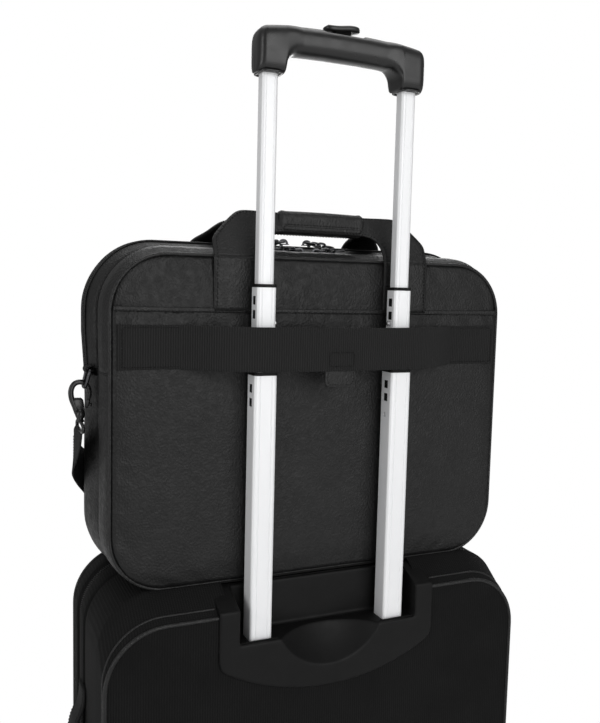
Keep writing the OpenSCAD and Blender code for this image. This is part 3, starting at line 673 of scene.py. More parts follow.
def bag_gussets():
    size = (BAG_W, BAG_H, BAG_R, BAG_MID)
    upper = outline_part(*size, SEAM_Z, 1)
    lower = outline_part(*size, SEAM_Z + 1.5 * MM, -1)
    for name, profile, node in (("bag_rear_gusset_upper", REAR_PROFILE, "bag_rear_gusset"),
                                ("bag_main_gusset_upper", MAIN_PROFILE, "bag_main_gusset")):
        mesh = band(upper, deep(profile, BAG_Y), ripple=0.6 * MM, swell=fullness(upper))
        gusset = piece(name, mesh, LEATHER, node)
        solidify(gusset, 1.8 * MM, -1)
    mesh = band(lower, deep(LOWER_PROFILE, BAG_Y), floor=BAG_BOTTOM, ripple=0.7 * MM)
    solidify(piece("bag_gusset_lower", mesh, LEATHER), 1.8 * MM, -1)
    for side in (-1, 1):
        edge = np.array([(side * (BAG_W / 2 + out), y, SEAM_Z + 0.8 * MM)
                         for y, out in deep(LOWER_PROFILE, BAG_Y)])
        edge = resample(edge, step=4 * MM)
        row = stitch_row(edge - [side * 0.2 * MM, 0, 3.2 * MM], (side, 0, 0))
        piece(f"gusset_seam_stitches_{'left' if side < 0 else 'right'}", row, THREAD)


def puckers(points, z_edge):
    """Short gathers that run in from a sewn edge and die away."""
    away = np.clip((z_edge - points[..., 1]) / (26 * MM), 0, 1)
    wave = field(np.stack([points[..., 0] * 1.0, points[..., 1] * 0.25], -1), 17 * MM, 3.0)
    return 0.9 * MM * wave * (1 - away) ** 2 * np.clip(away * 8, 0, 1)


def bag_panel(name, y, face, bulge, node, top_z=None, nu=96, nv=72, inset=0.0, seed=0.0):
    """A leather face, crowned a little and creased, standing in XZ with its front towards `face`."""
    grid = panel_grid(BAG_W - inset, BAG_H - inset, BAG_R - inset / 2, BAG_MID, nu, nv, top_z)
    puff = crown(nu, nv) if top_z is None else crown(nu, nv * 2)[:, :nv]
    creases = field(grid, 70 * MM, seed) * 1.4 * MM + field(grid, 26 * MM, seed + 5) * 0.5 * MM
    lift = (bulge + creases) * puff
    lift = lift + puckers(grid, BAG_TOP if top_z is None else top_z) * (crown(nu, nv, 12) > 0.02)
    verts = np.stack([grid[..., 0], y + face * lift, grid[..., 1]], -1).reshape(-1, 3)
    faces = rows_to_faces(nu, nv)
    panel = piece(name, (verts, faces), LEATHER, node)
    rim = [i for i in range(nu * nv) if i // nv in (0, nu - 1) or i % nv in (0, nv - 1)]
    simulate(panel, rim, 2.0 * face * facing(panel), 0.006, 2.2 * MM)
    shell = solidify(panel, 1.6 * MM, 1.0 if facing(panel) * face < 0 else -1.0)
    return shell


def facing(obj):
    """+1 when an upright panel's faces look along +Y."""
    total = sum(polygon.normal.y * polygon.area for polygon in obj.data.polygons)
    return 1 if total > 0 else -1


def welt(name, points, y, radius, body="laptop_case", out=0.0, closed=True, finish=PIPING):
    """A piping cord round an outline."""
    path = lift_to(points + outward(points, closed) * out, y)
    mesh = sweep(path, ring_section(radius, 10), (0, 1, 0), closed=closed)
    return piece(name, mesh, finish, body=body)


def bag_panels():
    bag_panel("bag_back_panel_leather", BAG_Y + 1 * MM, -1, 1.6 * MM, "bag_back_panel", seed=1.0)
    bag_panel("bag_front_panel_leather", BAG_FRONT - 1 * MM, 1, 5 * MM, "bag_front_panel", seed=9.0)
    bag_panel("slip_pocket_leather", BAG_Y - 1.2 * MM, -1, 1.2 * MM, "slip_pocket", POCKET_EDGE, 96, 62,
              2.4 * MM, seed=4.0)
    loop = outline(BAG_W, BAG_H, BAG_R, BAG_MID)
    back = welt("bag_piping_back", loop, BAG_Y + 0.6 * MM, 1.7 * MM, out=0.9 * MM)
    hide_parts("bag_piping")
    welt("bag_piping_front", loop, BAG_FRONT - 0.6 * MM, 1.7 * MM, out=0.9 * MM)
    across = np.linspace(-1, 1, 90) * (BAG_W / 2 - 1.5 * MM)
    edge = np.array([(x, BAG_Y - 2.6 * MM, POCKET_EDGE) for x in across])
    edge[:, 2] -= 0.8 * MM * (1 - (edge[:, 0] / edge[-1, 0]) ** 2)
    mesh = sweep(edge, box_section(2.6 * MM, 4.6 * MM, 1.2 * MM), (0, 0, 1))
    piece("slip_pocket_binding", mesh, LEATHER_HANDLE)
    row = stitch_row(edge - [0, 1.35 * MM, 1.3 * MM], (0, -1, 0), pitch=3.2 * MM, long=2 * MM,
                     radius=0.3 * MM)
    piece("slip_pocket_stitches", row, THREAD)
    inner = outline(BAG_W - 9 * MM, BAG_H - 9 * MM, BAG_R - 4 * MM, BAG_MID)
    front_row = stitch_row(lift_to(np.vstack([inner, inner[:1]]), BAG_FRONT - 0.3 * MM), (0, 1, 0))
    piece("front_panel_stitches", front_row, THREAD)


def front_pocket_zip():
    """A zipped pocket across the laptop case's front panel."""
    z, half = BAG_TOP - 92 * MM, BAG_W / 2 - 46 * MM
    line = np.array([(x, BAG_FRONT + 4.6 * MM, z) for x in np.linspace(-half, half, 60)])
    tape, faces, uv = slab(line - [0, 0, 6 * MM], line + [0, 0, 6 * MM], (0, 1, 0), 1.2 * MM)
    piece("front_zip_tape", (tape, faces, uv), ZIP_TAPE)
    piece("front_zip_coil", zip_teeth(line + [0, 0.7 * MM, 0], (0, 1, 0)), COIL)
    for name, drop in (("upper", 6.5), ("lower", -6.5)):
        lip = line + [0, 1.0 * MM, drop * MM]
        mesh = sweep(lip, box_section(2.4 * MM, 4 * MM, 1.1 * MM), (0, 0, 1))
        piece(f"front_zip_lip_{name}", mesh, LEATHER_HANDLE)


# ---------------------------------------------------------------- zips


def zip_teeth(path, out, pitch=1.7 * MM):
    """Two rows of interlocked teeth along a path: rounded bars that cross its middle."""
    path = np.asarray(path, float)
    run = lengths(path)
    _, across_all, up_all = frames(path, out)
    parts = []
    for k in range(int(run[-1] / pitch * 2)):
        at = (k + 0.5) * pitch / 2
        centre, across, up = (np.array([np.interp(at, run, a[:, c]) for c in range(3)])
                              for a in (path, across_all, up_all))
        side = 1 if k % 2 else -1
        bar = [(-0.35, 0, 0.5), (0.2, 0.25, 1), (2.4, 0.2, 1), (3, -0.3, 0.6)]
        line = np.array([centre + side * across * a * MM + up * h * MM for a, h, _ in bar])
        parts.append(sweep(line, ring_section(0.42 * MM, 5), np.broadcast_to(up, line.shape),
                           scale=[s for *_, s in bar]))
    return joined(parts)


def ring_zip(name, points, y, body, node, half=6.5, sink=0.6, teeth=1.7):
    """A zip that runs along an outline: tape and teeth."""
    normal = outward(points, False)
    path = lift_to(points - normal * sink * MM, y)
    out = lift_to(normal, 0)
    side = np.array([0, half * MM, 0])
    piece(f"{name}_tape", slab(path - side, path + side, out, 1.0 * MM), ZIP_TAPE, node, body)
    coil = zip_teeth(path + out * 0.9 * MM, out, pitch=teeth * MM)
    piece(f"{name}_coil", coil, COIL, body=body)


def bag_zips():
    cut = BAG_BOTTOM + 200 * MM
    points = outline_part(BAG_W, BAG_H, BAG_R, BAG_MID, cut, 1, 4 * MM)
    normal, swell = outward(points, False), fullness(points)[:, None] * MM
    ring_zip("rear_zip", points + normal * 3.4 * swell, REAR_ZIP_Y, "laptop_case", "bag_zip_tapes")
    bed = points + normal * 12.9 * swell
    mesh = band(bed, deep([(68.5, -0.8), (70, 0.1), (82, 0.1), (83.5, -0.8)], BAG_Y))
    solidify(piece("main_zip_bed", mesh, ZIP_TAPE), 0.8 * MM, -1)
    path = lift_to(bed + normal * 0.5 * MM, MAIN_ZIP_Y)
    piece("main_zip_coil", zip_teeth(path, lift_to(normal, 0), 1.9 * MM), COIL)
    for k, y in enumerate((68.2, 83.8)):
        welt(f"main_zip_lip_{k}", bed, BAG_Y + y * MM, 1.1 * MM, closed=False, finish=LEATHER_HANDLE)


def slider_parts(x, y, z, along=(1, 0, 0), up=(0, 0, 1)):
    """A zip slider's body: two plates joined by a neck, and the bridge that holds the pull."""
    along, up = np.array(along, float), np.array(up, float)
    base = np.array([x, y, z])
    parts = []
    for h, wide in ((0.5, 1.0), (3.0, 0.92)):
        line = np.array([base + along * a * MM + up * h * MM for a in (-6, -5, -1.5, 2, 5, 6)])
        scale = np.array([0.7, 0.9, 1.0, 0.82, 0.6, 0.45]) * wide
        parts.append(sweep(line, box_section(8 * MM, 1.1 * MM, 0.5 * MM), up, scale=scale))
    neck = np.array([base + along * 2 * MM + up * h * MM for h in (0.4, 3.2)])
    parts.append(sweep(neck, box_section(2.4 * MM, 3.4 * MM, 0.8 * MM), along))
    arch = rounded([base + along * a * MM + up * h * MM
                    for a, h in ((-4.6, 3), (-4.4, 5.6), (-2, 7.4), (1.6, 7.2), (3.4, 5.4), (3.6, 3))])
    parts.append(sweep(arch, box_section(2.6 * MM, 1.1 * MM, 0.5 * MM), np.cross(along, up)))
    return parts


def oval_link(centre, along, across, long, wide, wire):
    """A closed oval link of wire."""
    turn = np.arange(28) * 2 * math.pi / 28
    squarer = 0.75
    path = (np.asarray(centre, float)
            + np.outer(np.sign(np.cos(turn)) * np.abs(np.cos(turn)) ** squarer * long / 2, along)
            + np.outer(np.sign(np.sin(turn)) * np.abs(np.sin(turn)) ** squarer * wide / 2, across))
    return sweep(path, ring_section(wire, 8), np.cross(along, across), closed=True)


def pull_parts(start, along):
    """A zip pull lying on the zip: a yoke, a chain of links and a tapered tab."""
    along = unit(along)
    across = np.array([0, 1.0, 0])
    flat = np.cross(along, across)
    start = np.asarray(start, float)
    links = ((3.6, 0, 10.5, 7.6, 1.2), (10.6, 0.7, 9.5, 7.2, 1.25), (16.6, -0.8, 8.5, 6.8, 1.25))
    parts = [oval_link(start + along * a * MM, along, unit(across + tilt * flat), long * MM, wide * MM,
                       wire * MM) for a, tilt, long, wide, wire in links]
    line = np.array([start + along * a * MM for a in (18.5, 20, 22.5, 26, 29.5, 31.5)])
    parts.append(sweep(line, box_section(7 * MM, 2.2 * MM, 0.8 * MM), flat,
                       scale=(0.55, 0.85, 1.0, 1.05, 0.95, 0.6)))
    return parts


def bag_zip_sliders():
    for side, name in ((-1, "left"), (1, "right")):
        lo, hi = span(f"rear_zip_slider_{name}")
        x, y, z = (lo[0] + hi[0]) / 2, (lo[1] + hi[1]) / 2, lo[2] + 4.4 * MM
        mesh = joined(slider_parts(x, y, z, (side, 0, 0)))
        piece(f"rear_slider_{name}_body", mesh, GUNMETAL, f"rear_zip_slider_{name}", f"rear_slider_{name}")
        mesh = joined(pull_parts((x, y, z + 5.4 * MM), (side, 0, 0.04)))
        piece(f"rear_pull_{name}_links", mesh, GUNMETAL, f"rear_zip_pull_{name}", f"rear_pull_{name}")
        x, y = side * 14 * MM, MAIN_ZIP_Y
        z = BAG_TOP + 15.4 * MM
        parts = slider_parts(x, y, z, (side, 0, 0)) + pull_parts((x, y, z + 5.4 * MM), (side, 0, -0.12))
        mesh = joined(parts)
        piece(f"main_slider_{name}_body", mesh, GUNMETAL, f"main_zip_slider_{name}", f"main_slider_{name}")


# ---------------------------------------------------------------- handle sleeve and pull tab


def handle_sleeve():
    lo, hi = span("handle_sleeve")
    y_end = BAG_Y - 3.6 * MM
    bend = [(-203, y_end), (-150, y_end), (-144, y_end - 0.6 * MM), (-100, lo[1] + 2.6 * MM),
            (-22, lo[1] + 1 * MM)]
    path = np.array([(x * MM, y) for x, y in bend] + [(-x * MM, y) for x, y in bend[::-1]])
    path = resample(rounded(path, 3), step=1.6 * MM)
    along = unit(np.gradient(path, axis=0))
    out = np.stack([along[:, 1], -along[:, 0], np.zeros(len(path))], 1)
    line = np.stack([path[:, 0], path[:, 1], np.zeros(len(path))], 1)
    sag = 0.7 * MM * np.cos(np.clip(line[:, 0] / (142 * MM), -1, 1) * math.pi / 2)
    low, high = line.copy(), line.copy()
    low[:, 2], high[:, 2] = lo[2] - sag, hi[2] - 0.4 * sag
    mesh = slab(low, high, out, 2.0 * MM, across=14,
                wave=lambda run, at: 0.12 * MM * np.cos(run / (2.3 * MM) * 2 * math.pi))
    piece("handle_sleeve_webbing", mesh, WEBBING, "handle_sleeve")
    y, rows = y_end - 1.1 * MM, []

    def sew(a, b, radius, y=y):
        line = [(a[0], y, a[1]), (b[0], y, b[1])]
        rows.append(stitch_row(line, (0, -1, 0), pitch=3 * MM, radius=radius * MM))

    for side in (-1, 1):
        for x in (142, 146, 199):
            sew((side * x * MM, lo[2] + 2 * MM), (side * x * MM, hi[2] - 2 * MM), 0.4)
        for z in (lo[2] + 2.4 * MM, hi[2] - 2.4 * MM):
            sew((side * 147 * MM, z), (side * 199 * MM, z), 0.35)
    square = [(x * MM, lo[2] + z * MM) for x, z in ((-13, 4), (13, 4), (13, 17), (-13, 17), (-13, 4))]
    for a, b in zip(square[:-1], square[1:]):
        sew(a, b, 0.38, lo[1] - 0.1 * MM)
    piece("handle_sleeve_stitches", joined(rows), THREAD)


def pull_tab():
    lo, hi = span("pull_tab")
    place = (lo + hi) / 2
    wide, tall, thick = hi[0] - lo[0], hi[2] - lo[2], 2.6 * MM
    shape = bmesh.new()
    corners = [shape.verts.new((x, y, -thick / 2)) for x, y in box_section(wide, tall, 6 * MM, 5)]
    face = shape.faces.new(corners)
    grown = bmesh.ops.extrude_face_region(shape, geom=[face])
    moved = [v for v in grown["geom"] if isinstance(v, bmesh.types.BMVert)]
    bmesh.ops.translate(shape, verts=moved, vec=(0, 0, thick))
    bmesh.ops.recalc_face_normals(shape, faces=shape.faces)
    sharp = [e for e in shape.edges if e.calc_face_angle(0) > 0.7]
    bmesh.ops.bevel(shape, geom=sharp, offset=0.8 * MM, segments=3, profile=0.5, affect="EDGES")
    bmesh.ops.transform(shape, verts=shape.verts,
                        matrix=Matrix.Translation(place) @ Matrix.Rotation(math.pi / 2, 4, "X"))
    shape.verts.index_update()
    verts, faces = [v.co.copy() for v in shape.verts], [[v.index for v in f.verts] for f in shape.faces]
    shape.free()
    piece("pull_tab_leather", (verts, faces), LEATHER_HANDLE, "pull_tab")
    ring = np.array([(x, 0, z) for x, z in box_section(wide - 5 * MM, tall - 5 * MM, 4 * MM, 5)])
    ring = np.vstack([ring, ring[:1]]) + place + [0, -1.2 * MM, 0]
    row = stitch_row(ring, (0, -1, 0), pitch=2.8 * MM, long=1.9 * MM, radius=0.35 * MM)
    piece("pull_tab_stitches", row, THREAD)


# ---------------------------------------------------------------- carry handles


def handle_strip(outer, inner, base, direction, out, thick, name, body, node, back_bend=0.0):
    """A leather handle cut as one strip: its outer and inner edges are drawn in its leaning plane."""
    outer, inner = resample(rounded(outer, 3), count=110), resample(rounded(inner, 3), count=110)
    base, direction, out = (np.asarray(v, float) for v in (base, direction, out))

    def placed(edge):
        lift = edge[:, 1:2]
        top = edge[:, 1].max()
        return (base + edge[:, :1] * np.array([1.0, 0, 0]) + lift * direction
                + out * back_bend * np.sin(math.pi * np.clip(lift / top, 0, 1)))

    a, b = placed(inner), placed(outer)
    piece(name, slab(a, b, out, thick, across=9, crown=0.5 * MM), LEATHER_HANDLE, node, body)
    rows = []
    for share in (0.07, 0.93):
        line = a + (b - a) * share
        for face in (-1, 1):
            rows.append(stitch_row(line + out * face * (thick / 2 + 0.05 * MM), out * face))
    piece(f"{name}_stitches", joined(rows), THREAD, body=body)


def handle_edges(length, rise):
    """The outer and inner edge of a carry handle, in the plane that it leans in."""
    outer = [(115, 0), (115, length - 40), (115, length - 31), (110, length - 24), (95, length - 8),
             (87, length - 2), (77, length - 1), (46, length - 2)]
    inner = [(64, 0), (64, length * 0.2), (64, length - rise - 16), (60, length - rise - 6),
             (48, length - rise), (30, length - rise)]
    return mirrored(outer), mirrored(inner)


def mirrored(half):
    """An edge in metres, from its right half in millimetres."""
    half = np.array(half) * MM
    return np.vstack([half * [-1, 1], half[::-1]])


def leaning(start, end):
    """The length, the direction and the outward side of a strip that leans from one (y, z) to another."""
    run = np.array([0, end[0] - start[0], end[1] - start[1]])
    direction = unit(run)
    out = np.array([0, -direction[2], direction[1]])
    return np.linalg.norm(run), direction, out


def carry_handles():
    bar_y = span("handle_wrap")[0][1] + 9 * MM
    rear_hinge = (BAG_Y - 2.4 * MM, BAG_TOP + 0.4 * MM)
    length, direction, out = leaning(rear_hinge, (bar_y, span("rear_handle")[1][2]))
    outer, inner = handle_edges(length / MM, 22)
    handle_strip(outer, inner, (0, *rear_hinge), direction, out, 3.6 * MM, "rear_handle_leather",
                 "rear_carry_handle", "rear_handle")
    front_lo, front_hi = span("front_handle")
    front_hinge = (front_hi[1] - 1.5 * MM, front_lo[2] + 0.6 * MM)
    length, direction, out = leaning(front_hinge, (front_lo[1] + 1.2 * MM, front_hi[2] - 1 * MM))
    _, inner = handle_edges(length / MM, 24)
    top = length / MM
    outer = mirrored([(113, 0), (112, 20), (99, 34), (94, 50), (92, top - 20), (84, top - 4), (74, top),
                      (46, top)])
    handle_strip(outer, inner, (0, *front_hinge), direction, out, 3.6 * MM, "front_handle_leather",
                 "front_carry_handle", "front_handle", back_bend=-9 * MM)


def handle_legs():
    """The sewn lower ends of both handles, with their rows of stitches."""
    rows, parts = [], []
    for y, face, top in ((BAG_Y - 2.4 * MM, -1, BAG_TOP + 1 * MM),
                         (BAG_FRONT + 1.6 * MM, 1, BAG_TOP - 2 * MM)):
        low = POCKET_EDGE - 1 * MM if face < 0 else BAG_TOP - 84 * MM
        for side in (-1, 1):
            z = np.linspace(low, top, 14)
            bow = (0.3 if face < 0 else 0.9) * MM * np.sin((z - low) / (top - low) * math.pi)
            line = np.stack([np.full(14, side * 89.5 * MM),
                             y + face * (bow + (4 * MM if face > 0 else 0.2 * MM)), z], 1)
            half = np.array([25.5 * MM, 0, 0])
            name = f"handle_leg_{'rear' if face < 0 else 'front'}_{'left' if side < 0 else 'right'}"
            leg = slab(line - half, line + half, (0, face, 0), 3.4 * MM, across=9, crown=0.3 * MM)
            parts.append((name, leg))
            for x in (-22, 22):
                rows.append(stitch_row(line + [x * MM, face * 1.75 * MM, 0], (0, face, 0)))
            if face > 0:
                rows.append(stitch_row([line[0] + [x * MM, face * 1.8 * MM, 3 * MM] for x in (-22, 22)],
                                       (0, face, 0)))
    for k, (name, leg) in enumerate(parts):
        piece(name, leg, LEATHER_HANDLE, "handle_legs" if k == 0 else None)
    piece("handle_leg_stitches", joined(rows), THREAD)


def handle_wrap():
    """The padded cuff round the carry handle's bar."""
    lo, hi = span("handle_wrap")
    middle = (lo + hi) / 2
    xs = np.linspace(lo[0], hi[0], 48)
    end = np.minimum(xs - lo[0], hi[0] - xs)
    swell = 1 - 0.28 * np.exp(-end / (1.6 * MM)) + 0.07 * np.exp(-((end - 4 * MM) / (2.6 * MM)) ** 2)
    path = np.stack([xs, np.full(48, middle[1]),
                     middle[2] + 1.4 * MM + 0.8 * MM * np.cos(xs / (hi[0]) * 1.4)], 1)
    section = box_section(hi[1] - lo[1], (hi[2] - lo[2]) * 0.86, 6.4 * MM, 6)
    mesh = sweep(path, section, (0, 0, 1), scale=swell)
    cuff = piece("handle_wrap_leather", mesh, LEATHER_HANDLE, "handle_wrap", "rear_carry_handle")
    seam_z = lo[2] + (hi[2] - lo[2]) * 0.36
    seam = np.array([(x, lo[1] - 0.2 * MM, seam_z) for x in xs[2:-2]])
    mesh = sweep(seam, box_section(1.5 * MM, 3.4 * MM, 0.7 * MM), (0, 0, 1))
    piece("handle_wrap_seam", mesh, LEATHER_HANDLE, body="rear_carry_handle")
    rows = [stitch_row(seam + [0, -0.2 * MM, drop * MM], (0, -1, 0)) for drop in (3.4, -2.8)]
    piece("handle_wrap_stitches", joined(rows), THREAD, body="rear_carry_handle")


# ---------------------------------------------------------------- shoulder strap and its fittings

STRAP_HALF = [
    ((-226, -8, 565), (-1, 0)), ((-227, -6, 557), (-1, 0)), ((-228, 8, 544), (-1, 0.1)),
    ((-225, 29, 528), (-1, 0.4)), ((-214, 50, 512), (-0.85, 0.75)), ((-199, 64, 494), (-0.55, 1)),
    ((-185, 70, 470), (-0.35, 1)), ((-176, 77, 443), (-0.2, 1)), ((-168, 90, 416), (-0.1, 1)),
    ((-158, 101, 385), (0, 1)), ((-146, 103, 350), (0, 1)), ((-130, 103, 315), (0, 1)),
    ((-105, 103, 283), (0, 1)), ((-72, 103, 262), (0, 1)), ((-36, 103, 251), (0, 1)), ((0, 103, 248), (0, 1)),
]


def spline(points, step):
    """A Catmull-Rom curve through points, evenly spaced."""
    points = np.asarray(points, float)
    padded = np.vstack([2 * points[0] - points[1], points, 2 * points[-1] - points[-2]])
    out = []
    for k in range(1, len(padded) - 2):
        a, b, c, d = padded[k - 1:k + 3]
        for t in np.linspace(0, 1, 12, endpoint=False):
            out.append(0.5 * (2 * b + (c - a) * t + (2 * a - 5 * b + 4 * c - d) * t ** 2
                              + (3 * b - a - 3 * c + d) * t ** 3))
    out.append(points[-1])
    return resample(out, step=step)


def strap_route():
    left = [(np.array(p), np.array([*n, 0.0])) for p, n in STRAP_HALF]
    right = [(p * [-1, 1, 1], n * [-1, 1, 1]) for p, n in left[-2::-1]]
    rows = np.array([np.concatenate([p * MM, n * MM * 10]) for p, n in left + right])
    line = spline(rows, 4 * MM)
    return line[:, :3], unit(line[:, 3:])


def shoulder_strap():
    path, flat = strap_route()
    _, across, up = frames(path, flat)
    run = lengths(path)
    end = np.minimum(run, run[-1] - run)
    half = (13.5 + 4.5 * np.clip(end / (22 * MM), 0, 1))[:, None] * MM
    mesh = slab(path - across * half, path + across * half, up, 1.9 * MM, across=8)
    piece("shoulder_strap_webbing", mesh, WEBBING_LONG, "shoulder_strap")
    rows = []
    for k in (8, len(path) - 9):
        a, b = path[k] - across[k] * half[k], path[k] + across[k] * half[k]
        for face in (-1, 1):
            lift = up[k] * face
            rows.append(stitch_row([a + lift * MM, b + lift * MM], lift, pitch=3 * MM))
    piece("shoulder_strap_stitches", joined(rows), THREAD)


def shoulder_pad():
    lo, hi = span("shoulder_pad")
    nu, nv = 60, 22
    middle = (lo + hi) / 2
    wide, thick, tall = hi - lo
    grid = panel_grid(wide, tall, 19 * MM, middle[2], nu, nv)
    puff = crown(nu, nv, 3)
    channels = sum(np.exp(-((grid[..., 0] - x * MM) / (2.2 * MM)) ** 2) for x in (-40, 0, 40))
    front = thick / 2 * (0.25 + 0.9 * puff) - 1.3 * MM * channels * np.clip(puff * 2, 0, 1)
    layers = []
    for lift in (front, -0.25 * thick * np.ones_like(front)):
        layers.append(np.stack([grid[..., 0], middle[1] + lift, grid[..., 1]], -1).reshape(-1, 3))
    count = nu * nv
    faces = rows_to_faces(nu, nv) + [tuple(count + i for i in f[::-1]) for f in rows_to_faces(nu, nv)]
    rim = ([u * nv for u in range(nu)] + [(nu - 1) * nv + v for v in range(1, nv)]
           + [u * nv + nv - 1 for u in range(nu - 2, -1, -1)] + [v for v in range(nv - 2, 0, -1)])
    faces += [(rim[k], rim[(k + 1) % len(rim)], count + rim[(k + 1) % len(rim)], count + rim[k])
              for k in range(len(rim))]
    pad = piece("shoulder_pad_leather", (np.vstack(layers), faces), LEATHER_HANDLE, "shoulder_pad")
    edge = outline(wide - 5 * MM, tall - 5 * MM, 17 * MM, middle[2])
    ring = lift_to(np.vstack([edge, edge[:1]]), middle[1] + 1.35 * MM)
    piece("shoulder_pad_stitches", stitch_row(ring, (0, 1, 0)), THREAD)


def strap_lug(side, name):
    """A folded tab of webbing, sewn into the gusset seam, that holds the D-ring."""
    lo, hi = span("strap_lugs")
    x0 = side * (BAG_W / 2 + 1 * MM)
    pin = side * (BAG_W / 2 + 10 * MM)
    y = (lo[1] + hi[1]) / 2
    z = (lo[2] + hi[2]) / 2
    fold = [(x0, z - 6.5 * MM), (x0 + side * 4 * MM, z - 4.6 * MM), (pin, z - 3.4 * MM),
            (pin + side * 3.6 * MM, z - 2 * MM), (pin + side * 3.8 * MM, z + 2 * MM), (pin, z + 3.4 * MM),
            (x0 + side * 4 * MM, z + 4.6 * MM), (x0, z + 6.5 * MM)]
    line = rounded([(x, y, z_) for x, z_ in fold], 3)
    half = np.array([0, 8.4 * MM, 0])
    centre = np.array([pin - side * 3 * MM, y, z])
    out = unit((line - centre) * [1, 0, 1])
    mesh = slab(line - half, line + half, out, 1.7 * MM, across=6)
    piece(f"strap_lug_{name}", mesh, WEBBING, "strap_lugs")


def d_ring(side, name):
    """A wire D: a straight bar in the lug and a bow that hangs from it, tilted outwards."""
    lo, hi = span("strap_lugs")
    y, z = (lo[1] + hi[1]) / 2, (lo[2] + hi[2]) / 2
    pin = np.array([side * (BAG_W / 2 + 10 * MM), y, z])
    down = np.array([side * math.sin(math.radians(15)), 0, -math.cos(math.radians(15))])
    shape = [(-10.4, 0), (10.4, 0), (10.4, 6), (9, 13), (5, 17), (0, 17.6), (-5, 17), (-9, 13), (-10.4, 6)]
    path = np.array([pin + np.array([0, a * MM, 0]) + down * b * MM for a, b in shape])
    closed = np.vstack([path, path[:1]])
    dense = []
    for a, b in zip(closed[:-1], closed[1:]):
        dense += [a * 0.85 + b * 0.15, a * 0.15 + b * 0.85]
    dense = resample(np.vstack([dense, dense[:1]]), count=49)[:-1]
    mesh = sweep(dense, ring_section(1.6 * MM, 10), np.cross(down, (0, 1, 0)), closed=True)
    piece(f"d_ring_{name}", mesh, GUNMETAL, "d_rings")


def snap_hook(side, name):
    """A cast hook with a spring gate, a swivel post and the square loop that the strap is sewn to."""
    lo, hi = span("snap_hooks")
    y = (lo[1] + hi[1]) / 2
    x, top = side * (BAG_W / 2 + 18 * MM), hi[2] - 6.5 * MM

    def at(points):
        return np.array([(x - side * a * MM, y, top + b * MM) for a, b in points])

    hook = rounded(at([(-3, -24), (-5, -19), (-8, -12), (-8.8, -4), (-6, 2.6), (0.4, 4.6), (6.4, 1.4),
                       (8.6, -4.6), (8.4, -10), (8, -12.4)]), 3)
    share = np.linspace(0, 1, len(hook))
    size = 1.25 - 0.15 * share - 0.3 * np.exp(-((share - 1) / 0.05) ** 2)
    parts = [sweep(hook, box_section(4.2 * MM, 3.9 * MM, 1.7 * MM), (0, 1, 0), scale=size)]
    body = at([(-2.6, -11), (-2.6, -13.5), (-1.8, -19), (-0.8, -25), (-0.4, -28)])
    parts.append(sweep(body, box_section(11.4 * MM, 4.6 * MM, 2 * MM), (0, 1, 0),
                       scale=(0.6, 0.96, 1, 0.84, 0.66)))
    base = at([(0.5, -22), (0.3, -26), (0, -28), (0, -31.5), (0, -34)])
    parts.append(sweep(base, ring_section(4.4 * MM, 16), (0, 1, 0), scale=(0.75, 1, 1.08, 0.7, 0.95)))
    loop = at([(0, 0)])[0] + np.array([(0, a * MM, b * MM) for a, b in
                                       ((-4, -34), (-14, -34.6), (-19.4, -36.6), (-19.4, -40.4), (-14, -42),
                                        (14, -42), (19.4, -40.4), (19.4, -36.6), (14, -34.6), (4, -34))])
    loop = resample(np.vstack([loop, loop[:1]]), count=57)[:-1]
    parts.append(sweep(loop, ring_section(1.7 * MM, 8), (1, 0, 0), closed=True))
    piece(f"snap_hook_{name}", joined(parts), LACQUER, "snap_hooks")
    gate = at([(5.4, -21), (6.6, -18), (7.6, -15), (8.2, -11.4)])
    parts = [sweep(gate, box_section(3.4 * MM, 2.6 * MM, 1 * MM), (0, 1, 0), scale=(0.8, 1, 1, 0.9))]
    knob = np.array([gate[1] + [-side * k * MM, 0, 0] for k in (0, 1.6, 2.6, 3.8, 4.3)])
    parts.append(sweep(knob, ring_section(1.5 * MM, 12), (0, 1, 0), scale=(0.7, 0.7, 1.3, 1.3, 0.8)))
    piece(f"hook_gate_{name}_lever", joined(parts), LACQUER, f"hook_gate_{name}", f"gate_{name}")


bag_gussets()
bag_panels()
front_pocket_zip()
bag_zips()
bag_zip_sliders()
handle_sleeve()
pull_tab()
carry_handles()
handle_legs()
handle_wrap()
shoulder_strap()
shoulder_pad()
for sign, where in ((-1, "left"), (1, "right")):
    strap_lug(sign, where)
    d_ring(sign, where)
    snap_hook(sign, where)

# ---------------------------------------------------------------- rolling case: cloth shell

CASE_PROFILE = [(0.8, 0.0), (3, 0.5), (18, 0.9), (34, 0.8), (60, 1.2), (94, 1.0), (101, 0.2), (103, -0.9),
                (104, 1.9), (110, 2.8), (120, 2.6), (125, 1.8), (126, -0.6), (142, -0.6), (143, 1.8),
                (148, 2.4), (160, 2.0), (167, 0.8), (169.4, 0.0)]


def drop_faces(verts, faces, gone):
    """Leaves out the faces whose middle is somewhere that `gone` says yes to."""
    middles = np.array([np.mean([verts[i] for i in f], axis=0) for f in faces])
    keep = ~gone(middles[:, 0], middles[:, 1], middles[:, 2])
    return [f for f, k in zip(faces, keep) if k]


def in_housing(x, y, z):
    """Inside a wheel housing's block."""
    hi = span("wheel_housings")[1]
    inner = hi[0] - 48 * MM
    return (abs(x) > inner) & (abs(x) < hi[0] - 2 * MM) & (z < hi[2] - 2 * MM) & (y < hi[1] - 2 * MM)


def in_well(x, y, z):
    """Behind the bezel's face plate, where the handle well opens."""
    return (abs(x) < 104 * MM) & (z > CASE_TOP - 49 * MM) & (y < CASE_BACK + 35 * MM)


def in_scoop(x, y, z):
    return (np.hypot(x, z - (CASE_TOP - 23 * MM)) < 63 * MM) & (y < CASE_BACK + 20 * MM)


